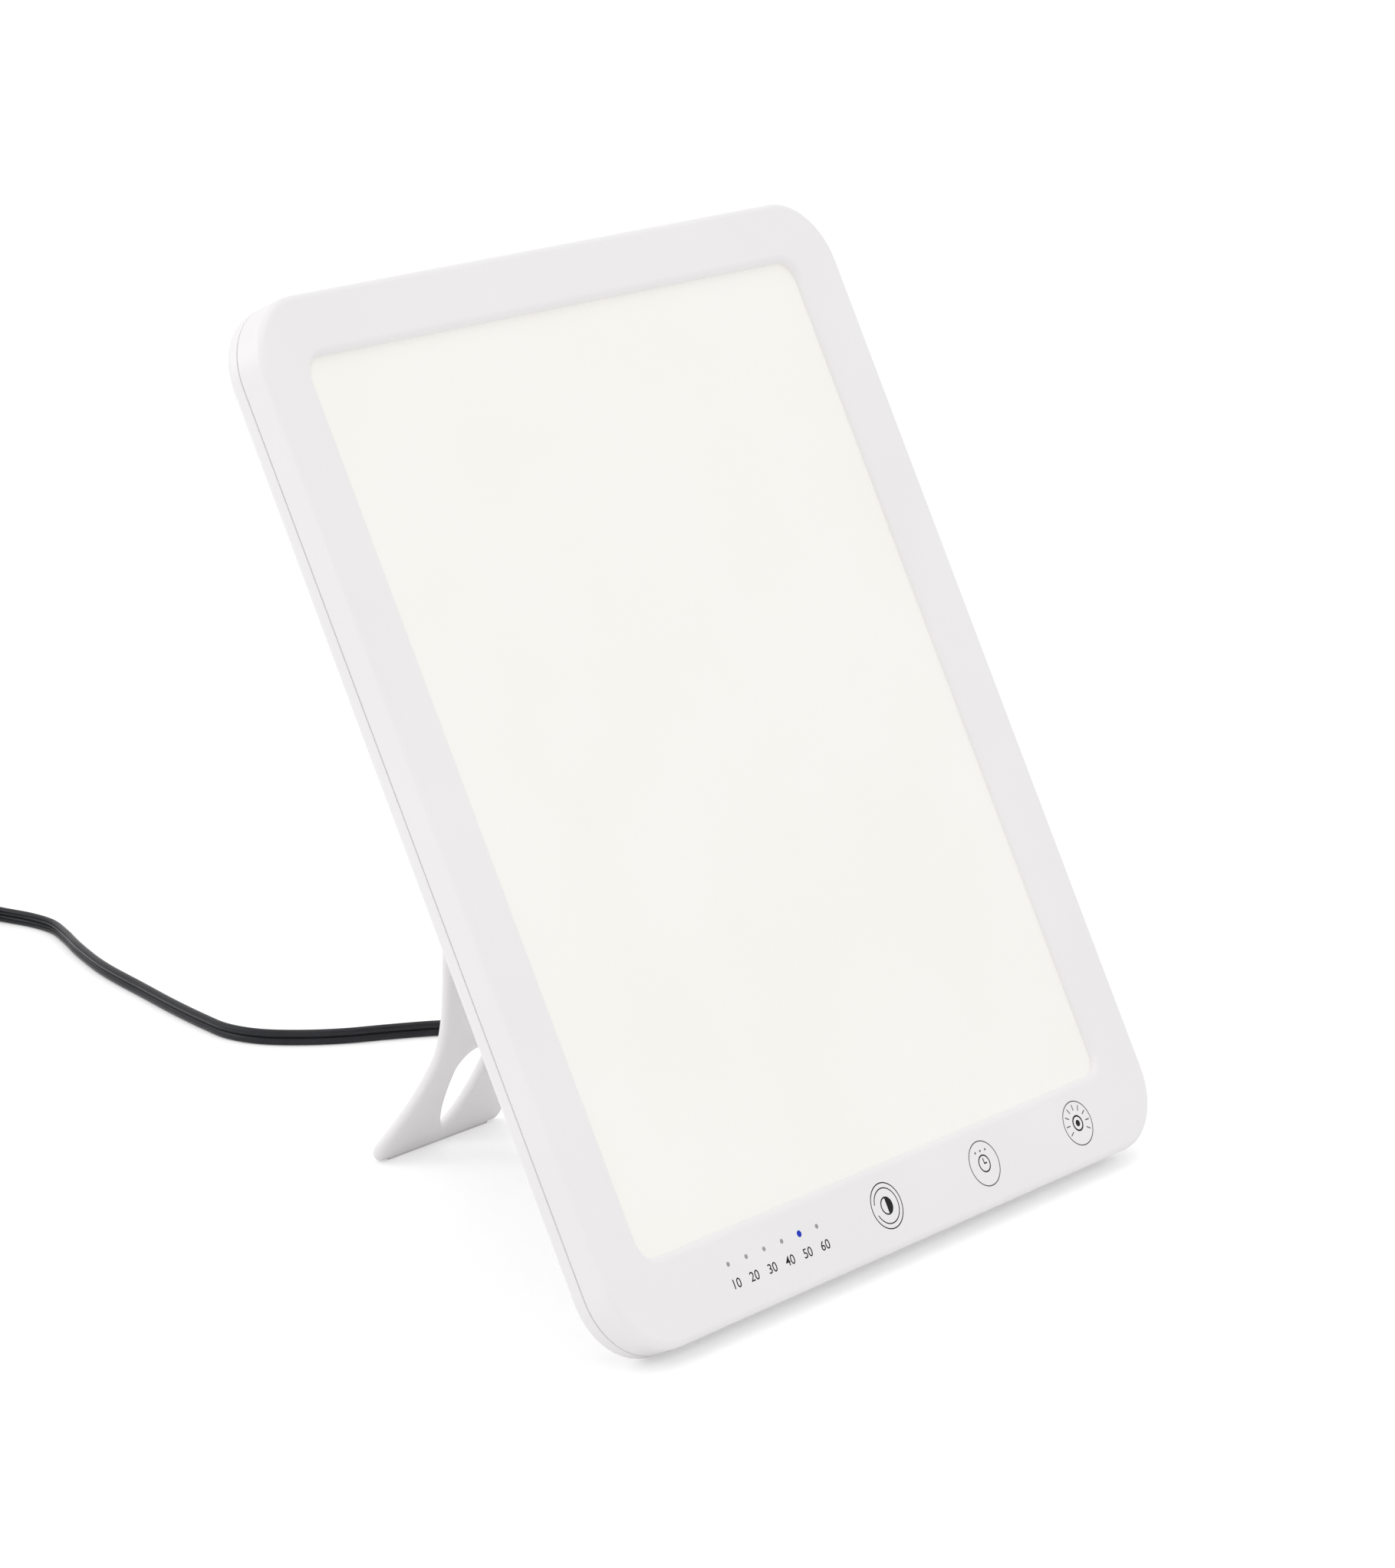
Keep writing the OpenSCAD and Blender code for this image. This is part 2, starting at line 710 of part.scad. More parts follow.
// Right-hand edge of the stand from foot to shoulder, as three blended curves
function stand_edge() = concat(
    curve([foot_half - foot_r, 0], [foot_half + foot_swell, 0],
        [foot_half + foot_swell, 0.8 * foot_r], ankle, 6),
    curve(ankle, ankle + [-2.3 * ankle_in, ankle_up * 7 / 8],
        [neck_half, neck_up - neck_pull], [neck_half, neck_up], 10),
    curve([neck_half, neck_up], [neck_half, neck_up + flare_pull],
        [top_half, shoulder_up - shoulder_pull], [top_half, shoulder_up], 14),
    [[top_half, shoulder_up], [top_half, stand_l]]);

function leaf_edge() = concat(
    curve([leaf_tip, leaf_low], [0.6 * leaf_half, leaf_low + leaf_half / 2],
        [leaf_half, leaf_low + leaf_belly], [leaf_half, leaf_high - leaf_half], 8),
    [for (a = [0 : 15 : 90]) [leaf_half * cos(a),
        leaf_high - leaf_half + leaf_half * sin(a)]]);

module stand_outline() {
    difference() {
        polygon(concat(stand_edge(), flip(stand_edge())));
        polygon(concat(leaf_edge(), flip(leaf_edge())));
    }
}

// Space above the pad's top when keep is "plate", and below it when "pad"
module table_split(keep) {
    reach = 2 * stand_l;
    intersection() {
        children();
        translate([-reach / 2, -reach / 2, keep == "plate" ? pad_t : 0])
            cube([reach, reach, keep == "plate" ? reach : pad_t]);
    }
}

module stand_plate() {
    color([0.9, 0.9, 0.9]) {
        difference() {
            union() {
                table_split("plate") on_stand() translate([0, 0, -stand_t / 2])
                    linear_extrude(stand_t) stand_longer();
                on_stand() translate([-top_half, stand_l, 0]) rotate([0, 90, 0])
                    cylinder(r = barrel_r, h = 2 * top_half);
                on_panel() translate([-stop_half, hinge_h, pivot_z])
                    rotate([-stop_turn, 0, 0])
                        cube([2 * stop_half, stop_t, stop_reach]);
            }
            for (s = [-1, 1]) {
                on_stand() translate([s * bracket_x - notch_half,
                    stand_l - barrel_r - swing_gap, -2 * barrel_r])
                    cube([2 * notch_half, 4 * barrel_r, 4 * barrel_r]);
                on_stand() translate([s > 0 ? pin_in - 0.3 : -top_half - 1, stand_l, 0])
                    rotate([0, 90, 0])
                        cylinder(r = pin_r + pin_fit, h = top_half + 1.3 - pin_in);
            }
        }
    }
}

// The outline carried past the table, so that its end can be cut level
module stand_longer() {
    stand_outline();
    translate([foot_r - foot_half, -foot_r]) square([2 * (foot_half - foot_r), foot_r + 1]);
}

module stand_foot_pad() {
    color([0.75, 0.75, 0.75]) table_split("pad") on_stand()
        translate([0, 0, -stand_t / 2]) linear_extrude(stand_t)
            translate([foot_r + 2 - foot_half, -foot_r])
                square([2 * (foot_half - foot_r - 2), 2 * foot_r]);
}

// ---- Plug in the panel's back ----

module plug_barrel() {
    color([0.78, 0.78, 0.8]) on_panel() translate([jack_x, jack_h]) difference() {
        rod(socket_r - 0.05, -panel_t + socket_deep - 0.6, -panel_t - plug_gap);
        rod(contact_r + 0.1, 0, -panel_t + 0.3);
    }
}

module plug_body() {
    color([0.05, 0.05, 0.055]) on_panel() translate([jack_x, jack_h]) {
        rod(stub_r, -panel_t - plug_gap, -panel_t - plug_gap - stub_l);
        translate([0, 0, arm_z]) rotate([0, 90, 0]) cylinder(r = arm_r, h = arm_l);
    }
}

module plug_relief() {
    color([0.05, 0.05, 0.055]) on_panel() translate([jack_x + arm_l, jack_h, arm_z])
        rotate([0, 90, 0]) cylinder(r1 = relief_r, r2 = relief_tip_r, h = relief_l);
}

// ---- Lead ----

// Twelve-sided figure-of-eight section of the free lead, and a six-sided one for turns
function twin_section() = let (q = lead_w / 4, h = lead_t / 2) [
    for (a = [-60 : 60 : 240]) [h * cos(a), q + (lead_w / 4) * sin(a)],
    for (a = [120 : 60 : 420]) [h * cos(a), -q + (lead_w / 4) * sin(a)]];
function turn_section() = let (h = lead_t / 2, w = lead_w / 2) [
    [0, w], [-h, w / 2], [-h, -w / 2], [0, -w], [h, -w / 2], [h, w / 2]];

function unit(v) = v / norm(v);
// Level direction of travel at each point of a path
function heading(p, i) = let (d = p[min(i + 1, len(p) - 1)] - p[max(i - 1, 0)])
    unit([d[0], d[1], 0]);
function ring(p, i, s) = let (d = heading(p, i), side = [d[1], -d[0], 0])
    [for (q = s) p[i] + side * q[0] + [0, 0, q[1]]];

// One closed tube of section s swept along the path p, on edge
module sweep(p, s) {
    n = len(s);
    m = len(p);
    pts = concat([for (i = [0 : m - 1]) each ring(p, i, s)], [p[0], p[m - 1]]);
    sides = [for (i = [0 : m - 2], k = [0 : n - 1]) let (k2 = (k + 1) % n,
        a = i * n + k, b = i * n + k2, c = a + n, d = b + n) each [[a, c, b], [b, c, d]]];
    ends = [for (k = [0 : n - 1]) let (k2 = (k + 1) % n) each [[k, k2, m * n],
        [(m - 1) * n + k2, (m - 1) * n + k, m * n + 1]]];
    polyhedron(points = pts, faces = concat(sides, ends));
}

module power_lead() {
    color([0.06, 0.06, 0.07]) sweep(concat([[exit_x, exit_y, exit_z],
        [exit_x + lead_w, exit_y, exit_z]], route,
        [coil_start() - [0, 2 * lead_w, 0], coil_start() - [0, lead_w, 0]]), twin_section());
}

// Height and radius of the coiled lead at turning angle a
function coil_rad(a) = a <= coil_a1 ? coil_r - coil_pitch * a / 360
    : a <= coil_a2 ? coil_inner - coil_dip * sin(a - coil_a1)
    : coil_inner + coil_pitch * (a - coil_a2) / 360;
function coil_z(a) = coil_low + coil_rise * max(0, min(1, (a - coil_a1) / 180));
function coil_point(a) = [coil_c[0] + coil_rad(a) * cos(a),
    coil_c[1] + coil_rad(a) * sin(a), coil_z(a)];
function coil_start() = coil_point(0);
function path_length(p) = [for (i = 0, s = 0; i < len(p); i = i + 1,
    s = s + (i < len(p) ? norm(p[i] - p[i - 1]) : 0)) s][len(p) - 1];
coil_step = 360 / coil_rings;
coil_path = concat([coil_start() - [0, lead_w, 0]],
    [for (a = [0 : coil_step : coil_a3]) coil_point(a)],
    [for (k = [1 : 2]) coil_point(coil_a3) - [k * tail_l / 2, 0, 0]]);

// Least clear gap between two turns, side and up being how far apart they lie
function turn_gap(side, up) = let (n = unit([lead_w / 4, lead_t / 2]))
    max(side - lead_t, up - lead_w, n[0] * side + n[1] * (up - lead_w));
coil_n = floor(coil_a3 / coil_step);
coil_gaps = [for (i = [0 : coil_n - coil_rings], k = [coil_rings - 4 : coil_n - i])
    let (d = coil_path[i + k] - coil_path[i]) turn_gap(norm([d[0], d[1]]), abs(d[2]))];
echo(coil_least_gap = min(coil_gaps), coil_length = path_length(coil_path));

module lead_coil() {
    color([0.06, 0.06, 0.07]) sweep(coil_path, turn_section());
}

module coil_tie() {
    r0 = sqrt(pow(coil_inner - coil_dip - lead_t / 2 - tie_gap, 2) - pow(tie_w / 2, 2));
    r1 = coil_r - coil_pitch / 2 + lead_t / 2 + tie_gap;
    top = lead_top_z + lead_w / 2 + tie_gap;
    color([0.1, 0.1, 0.1]) translate([coil_c[0], coil_c[1] - tie_w / 2, 0]) difference() {
        translate([-r1 - tie_t, 0, 0]) cube([r1 - r0 + 2 * tie_t, tie_w, top + tie_t]);
        translate([-r1, -1, tie_t]) cube([r1 - r0, tie_w + 2, top - tie_t]);
    }
}

// ---- Plug-in supply ----

module supply_relief() {
    color([0.05, 0.05, 0.055]) translate([supply_x, supply_y, lead_top_z])
        rotate([0, 90, 0]) cylinder(r1 = relief_r, r2 = relief_tip_r, h = relief_l);
}

// Half of the supply's case, from the table up when base, else the upper half
module supply_half(base) {
    cut = supply_h * supply_split;
    translate([supply_x - supply_l / 2, supply_y - supply_w / 2, 0]) intersection() {
        translate([0, 0, supply_h])
            slab(supply_l, supply_w, supply_r, supply_h, supply_edge, supply_edge);
        translate([-supply_l, -supply_w, base ? 0 : cut + 0.15])
            cube([2 * supply_l, 3 * supply_w, base ? cut - 0.15 : supply_h]);
    }
}

module supply_core() {
    side = 2;
    cut = supply_h * supply_split;
    translate([supply_x - supply_l + side, supply_y - supply_w / 2 + side, cut - 1])
        cube([supply_l - 2 * side, supply_w - 2 * side, 1.15]);
}

module supply_base() {
    color([0.06, 0.06, 0.065]) {
        supply_half(true);
        supply_core();
    }
}

module supply_cover() {
    color([0.06, 0.06, 0.065]) difference() {
        supply_half(false);
        for (s = [-1, 1]) blade(s, 0.02, -6);
    }
}

// One flat blade, standing up out of the supply's top
module blade(s, grow, from) {
    translate([supply_x - supply_l * 0.62 - blade_w / 2 - grow,
        supply_y + s * blade_pitch / 2 - blade_t / 2 - grow, supply_h + from - grow])
        cube([blade_w + 2 * grow, blade_t + 2 * grow, blade_l - from + 2 * grow]);
}

module supply_blades() {
    color([0.8, 0.72, 0.5]) for (s = [-1, 1]) blade(s, 0, -6);
}

front_bezel();
rear_cover();
diffuser_panel();
prism_film();
light_guide();
reflector_sheet();
backplate();
led_board_left();
led_board_right();
led_chips();
stack_foam();
control_board();
touch_pads();
time_light_leds();
time_lights();
lit_time_light();
board_screws();
dc_jack();
case_screws();
bottom_pads();
hinge_bracket_left();
hinge_bracket_right();
hinge_screws();
hinge_pins();
friction_washers();
stand_plate();
stand_foot_pad();
plug_barrel();
plug_body();
plug_relief();
power_lead();
lead_coil();
coil_tie();
supply_relief();
supply_base();
supply_cover();
supply_blades();
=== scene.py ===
import bpy
import json
import math
from mathutils import Matrix, Vector

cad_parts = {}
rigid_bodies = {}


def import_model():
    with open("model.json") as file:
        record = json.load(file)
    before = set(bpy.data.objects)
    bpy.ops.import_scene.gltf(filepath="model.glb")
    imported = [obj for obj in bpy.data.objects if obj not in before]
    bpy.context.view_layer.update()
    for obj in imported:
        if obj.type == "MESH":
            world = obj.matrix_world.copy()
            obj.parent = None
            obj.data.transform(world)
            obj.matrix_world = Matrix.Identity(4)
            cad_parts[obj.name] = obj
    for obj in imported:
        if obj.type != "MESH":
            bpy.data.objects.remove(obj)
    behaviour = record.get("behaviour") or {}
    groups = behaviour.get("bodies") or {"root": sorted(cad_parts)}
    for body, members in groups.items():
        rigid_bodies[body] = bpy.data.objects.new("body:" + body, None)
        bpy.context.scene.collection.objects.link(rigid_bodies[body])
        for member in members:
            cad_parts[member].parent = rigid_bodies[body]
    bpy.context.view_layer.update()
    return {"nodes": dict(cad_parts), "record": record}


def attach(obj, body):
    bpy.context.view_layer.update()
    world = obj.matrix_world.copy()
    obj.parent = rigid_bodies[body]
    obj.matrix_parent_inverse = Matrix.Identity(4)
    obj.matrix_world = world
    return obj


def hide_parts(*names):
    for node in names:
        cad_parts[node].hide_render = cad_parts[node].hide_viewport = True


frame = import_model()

print("scene: frame loaded")

mm = 0.001
bpy.context.scene.view_settings.view_transform = "Standard"

# where the panel and the stand lie, as in the part's source, in millimetres

panel = {
    "lean": 26.5,
    "thickness": 15.0,
    "seamDepth": 9.8,
    "seamHalf": 0.24,
    "backEdge": 2.5,
    "frontEdge": 2.0,
    "padLift": 0.4,
    "hingeHeight": 182.0,
    "hingeOffset": 5.0,
    "openAngle": 54.0,
    "standThickness": 3.5,
}


def layout():
    lean = math.radians(panel["lean"])
    s, c = math.sin(lean), math.cos(lean)
    t, r = panel["thickness"], panel["backEdge"]
    lift = panel["padLift"] + r + (t - r) * s - r * c
    standLean = math.radians(panel["openAngle"]) - lean
    pivotDepth = -t - panel["hingeOffset"]
    pivotUp = panel["hingeHeight"] * c + pivotDepth * s + lift
    pivotBack = panel["hingeHeight"] * s - pivotDepth * c
    footBack = pivotBack + pivotUp * math.tan(standLean)
    footBack += panel["standThickness"] / 2 / math.cos(standLean)
    frontY = panel["frontEdge"] * (s + c - 1)
    return {
        "lift": lift,
        "standLean": standLean,
        "pivotUp": pivotUp,
        "pivotBack": pivotBack,
        "standLength": pivotUp / math.cos(standLean),
        "midY": (frontY + footBack) / 2,
    }


place = layout()


def panelMatrix(x, h, n):
    # x across, h up the panel, n out of its front face
    lean = math.radians(panel["lean"])
    y = h * math.sin(lean) - n * math.cos(lean) - place["midY"]
    z = h * math.cos(lean) + n * math.sin(lean) + place["lift"]
    turn = Matrix.Rotation(math.pi / 2 - lean, 4, "X")
    return Matrix.Translation((x * mm, y * mm, z * mm)) @ turn


def standMatrix():
    b = place["standLean"]
    turn = Matrix(((1, 0, 0), (0, -math.sin(b), -math.cos(b)), (0, math.cos(b), -math.sin(b))))
    foot = place["pivotBack"] - place["midY"] + place["standLength"] * math.sin(b)
    return Matrix.Translation((0, foot * mm, 0)) @ turn.to_4x4()


# camera, its spot in millimetres

cameraSettings = {
    "spot": (-1206.7, -953.8, 520.2),
    "aim": (0.7638, 0.5959, -0.2481),
    "lens": 125.79,
    "sensor": 36,
    "clip": (0.01, 50),
}


def addCamera():
    data = bpy.data.cameras.new("camera")
    data.lens = cameraSettings["lens"]
    data.sensor_width = cameraSettings["sensor"]
    data.clip_start, data.clip_end = cameraSettings["clip"]
    cam = bpy.data.objects.new("camera", data)
    bpy.context.collection.objects.link(cam)
    cam.location = Vector(cameraSettings["spot"]) * mm
    cam.rotation_mode = "QUATERNION"
    cam.rotation_quaternion = Vector(cameraSettings["aim"]).to_track_quat("-Z", "Y")
    bpy.context.scene.camera = cam


addCamera()
print("scene: camera")

# helpers for the modelling


def clearSelection():
    for o in bpy.context.view_layer.objects:
        o.select_set(False)


def only(obj):
    clearSelection()
    obj.select_set(True)
    bpy.context.view_layer.objects.active = obj


def settle(obj):
    # place, turn and size go into the mesh
    only(obj)
    bpy.ops.object.transform_apply(location=True, rotation=True, scale=True)


def applyModifiers(obj):
    only(obj)
    for m in list(obj.modifiers):
        bpy.ops.object.modifier_apply(modifier=m.name)


def smooth(obj, angle=40):
    only(obj)
    bpy.ops.object.shade_smooth_by_angle(angle=math.radians(angle))


def outward(obj):
    only(obj)
    bpy.ops.object.mode_set(mode="EDIT")
    bpy.ops.mesh.select_all(action="SELECT")
    bpy.ops.mesh.remove_doubles(threshold=1e-6)
    bpy.ops.mesh.normals_make_consistent(inside=False)
    bpy.ops.object.mode_set(mode="OBJECT")


def join(objs, name):
    clearSelection()
    for o in objs:
        o.select_set(True)
    bpy.context.view_layer.objects.active = objs[0]
    bpy.ops.object.join()
    whole = bpy.context.view_layer.objects.active
    whole.name = name
    return whole


def bevel(obj, width, segments=3, angle=30):
    m = obj.modifiers.new("soften", "BEVEL")
    m.width = width
    m.segments = segments
    m.limit_method = "ANGLE"
    m.angle_limit = math.radians(angle)
    m.harden_normals = False
    applyModifiers(obj)


# shader groups, which give only values and normals


def groupWith(name, inputs, outputs):
    g = bpy.data.node_groups.new(name, "ShaderNodeTree")
    for label, kind, value in inputs:
        s = g.interface.new_socket(name=label, in_out="INPUT", socket_type=kind)
        s.default_value = value
    for label, kind in outputs:
        g.interface.new_socket(name=label, in_out="OUTPUT", socket_type=kind)
    start = g.nodes.new("NodeGroupInput")
    end = g.nodes.new("NodeGroupOutput")
    return g, start, end


def mathNode(g, operation, a, b):
    n = g.nodes.new("ShaderNodeMath")
    n.operation = operation
    for i, v in enumerate((a, b)):
        if isinstance(v, (int, float)):
            n.inputs[i].default_value = v
        else:
            g.links.new(v, n.inputs[i])
    return n.outputs[0]


def makeMouldedGrain():
    # the fine, slightly uneven skin of a moulded plastic, and slow changes of tone
    g, start, end = groupWith(
        "mouldedGrain",
        [("Grain Size", "NodeSocketFloat", 0.4), ("Tone Size", "NodeSocketFloat", 60.0)],
        [("Height", "NodeSocketFloat"), ("Tone", "NodeSocketFloat"),
         ("Sheen Patch", "NodeSocketFloat")],
    )
    coord = g.nodes.new("ShaderNodeTexCoord")
    perMetre = mathNode(g, "DIVIDE", 1000.0, start.outputs["Grain Size"])
    fine = g.nodes.new("ShaderNodeTexNoise")
    fine.inputs["Detail"].default_value = 3
    fine.inputs["Roughness"].default_value = 0.55
    g.links.new(coord.outputs["Object"], fine.inputs["Vector"])
    g.links.new(perMetre, fine.inputs["Scale"])
    pits = g.nodes.new("ShaderNodeTexVoronoi")
    pits.feature = "SMOOTH_F1"
    g.links.new(coord.outputs["Object"], pits.inputs["Vector"])
    g.links.new(perMetre, pits.inputs["Scale"])
    both = mathNode(g, "ADD", fine.outputs["Fac"], pits.outputs["Distance"])
    g.links.new(mathNode(g, "MULTIPLY", both, 0.5), end.inputs["Height"])
    slowScale = mathNode(g, "DIVIDE", 1000.0, start.outputs["Tone Size"])
    slow = g.nodes.new("ShaderNodeTexNoise")
    slow.inputs["Detail"].default_value = 2
    g.links.new(coord.outputs["Object"], slow.inputs["Vector"])
    g.links.new(slowScale, slow.inputs["Scale"])
    g.links.new(slow.outputs["Fac"], end.inputs["Tone"])
    patch = g.nodes.new("ShaderNodeTexNoise")
    patch.inputs["Detail"].default_value = 4
    patch.inputs["Distortion"].default_value = 0.6
    g.links.new(coord.outputs["Object"], patch.inputs["Vector"])
    g.links.new(mathNode(g, "MULTIPLY", slowScale, 2.3), patch.inputs["Scale"])
    g.links.new(patch.outputs["Fac"], end.inputs["Sheen Patch"])
    return g


def makeDrawnMetal():
    # fine lines along one axis, as drawn or rolled metal shows
    g, start, end = groupWith(
        "drawnMetal",
        [("Line Size", "NodeSocketFloat", 0.15)],
        [("Height", "NodeSocketFloat"), ("Tone", "NodeSocketFloat")],
    )
    coord = g.nodes.new("ShaderNodeTexCoord")
    mapping = g.nodes.new("ShaderNodeMapping")
    mapping.inputs["Scale"].default_value = (0.06, 1, 1)
    g.links.new(coord.outputs["Object"], mapping.inputs["Vector"])
    lines = g.nodes.new("ShaderNodeTexNoise")
    lines.inputs["Detail"].default_value = 4
    g.links.new(mapping.outputs["Vector"], lines.inputs["Vector"])
    g.links.new(mathNode(g, "DIVIDE", 1000.0, start.outputs["Line Size"]), lines.inputs["Scale"])
    g.links.new(lines.outputs["Fac"], end.inputs["Height"])
    g.links.new(lines.outputs["Fac"], end.inputs["Tone"])
    return g


mouldedGrain = makeMouldedGrain()
drawnMetal = makeDrawnMetal()


def ramp(nodes, links, source, low, high):
    # turns a noise value, which mostly lies from 0.3 to 0.7, into the range low to high
    m = nodes.new("ShaderNodeMapRange")
    m.inputs["From Min"].default_value = 0.3
    m.inputs["From Max"].default_value = 0.7
    m.inputs["To Min"].default_value = low
    m.inputs["To Max"].default_value = high
    links.new(source, m.inputs["Value"])
    return m.outputs["Result"]


def paintedSeamShade(nodes, links, colour, seam):
    # painted shade: the floor of the groove between the two shells is painted darker, standing in
    # for the shade that gathers there
    lean = math.radians(panel["lean"])
    spot = nodes.new("ShaderNodeTexCoord")
    along = nodes.new("ShaderNodeVectorMath")
    along.operation = "DOT_PRODUCT"
    along.inputs[1].default_value = (0, -math.cos(lean), math.sin(lean))
    links.new(spot.outputs["Object"], along.inputs[0])
    inside = nodes.new("ShaderNodeMath")
    inside.operation = "COMPARE"
    offset = place["midY"] * math.cos(lean) + place["lift"] * math.sin(lean)
    inside.inputs[1].default_value = (offset - panel["seamDepth"]) * mm
    inside.inputs[2].default_value = panel["seamHalf"] * mm
    links.new(along.outputs["Value"], inside.inputs[0])
    mix = nodes.new("ShaderNodeMix")
    mix.data_type = "RGBA"
    links.new(inside.outputs["Value"], mix.inputs["Factor"])
    links.new(colour, mix.inputs["A"])
    mix.inputs["B"].default_value = (*seam, 1)
    return mix.outputs["Result"]


def makeFinish(name, look):
    mat = bpy.data.materials.new(name)
    mat.use_nodes = True
    nodes, links = mat.node_tree.nodes, mat.node_tree.links
    skin = nodes["Principled BSDF"]
    skin.inputs["Metallic"].default_value = look.get("metallic", 0)
    skin.inputs["IOR"].default_value = look.get("ior", 1.46)
    skin.inputs["Specular IOR Level"].default_value = look.get("specular", 0.5)
    skin.inputs["Coat Weight"].default_value = look.get("coat", 0)
    skin.inputs["Coat Roughness"].default_value = look.get("coatRoughness", 0.1)
    texture = nodes.new("ShaderNodeGroup")
    if look.get("drawn"):
        texture.node_tree = drawnMetal
        texture.inputs["Line Size"].default_value = look["grain"]
        patch = texture.outputs["Height"]
    else:
        texture.node_tree = mouldedGrain
        texture.inputs["Grain Size"].default_value = look["grain"]
        texture.inputs["Tone Size"].default_value = look.get("toneSize", 60)
        patch = texture.outputs["Sheen Patch"]
    mix = nodes.new("ShaderNodeMix")
    mix.data_type = "RGBA"
    mix.inputs["A"].default_value = (*look["dark"], 1)
    mix.inputs["B"].default_value = (*look["light"], 1)
    tone = ramp(nodes, links, texture.outputs["Tone"], 0, 1)
    links.new(tone, mix.inputs["Factor"])
    colour = mix.outputs["Result"]
    # painted shade on the floor of the seam groove
    if "seam" in look:
        colour = paintedSeamShade(nodes, links, colour, look["seam"])
    links.new(colour, skin.inputs["Base Color"])
    lowRough, highRough = look["roughness"]
    links.new(ramp(nodes, links, patch, lowRough, highRough), skin.inputs["Roughness"])
    bump = nodes.new("ShaderNodeBump")
    bump.inputs["Strength"].default_value = look.get("bump", 0.2)
    bump.inputs["Distance"].default_value = look.get("depth", 0.02) * mm
    links.new(texture.outputs["Height"], bump.inputs["Height"])
    links.new(bump.outputs["Normal"], skin.inputs["Normal"])
    # emission: the lit indicator's own light, and on the diffuser a faint glow of painted light
    if "glow" in look:
        skin.inputs["Emission Color"].default_value = (*look["glow"], 1)
        skin.inputs["Emission Strength"].default_value = look["glowStrength"]
    return mat


def grey(value, tint=(0, 0, 0)):
    # a colour from its written value out of 255 and a tint, as a linear triple
    out = []
    for t in tint:
        v = (value + t) / 255
        out.append(v / 12.92 if v < 0.04045 else ((v + 0.055) / 1.055) ** 2.4)
    return tuple(out)


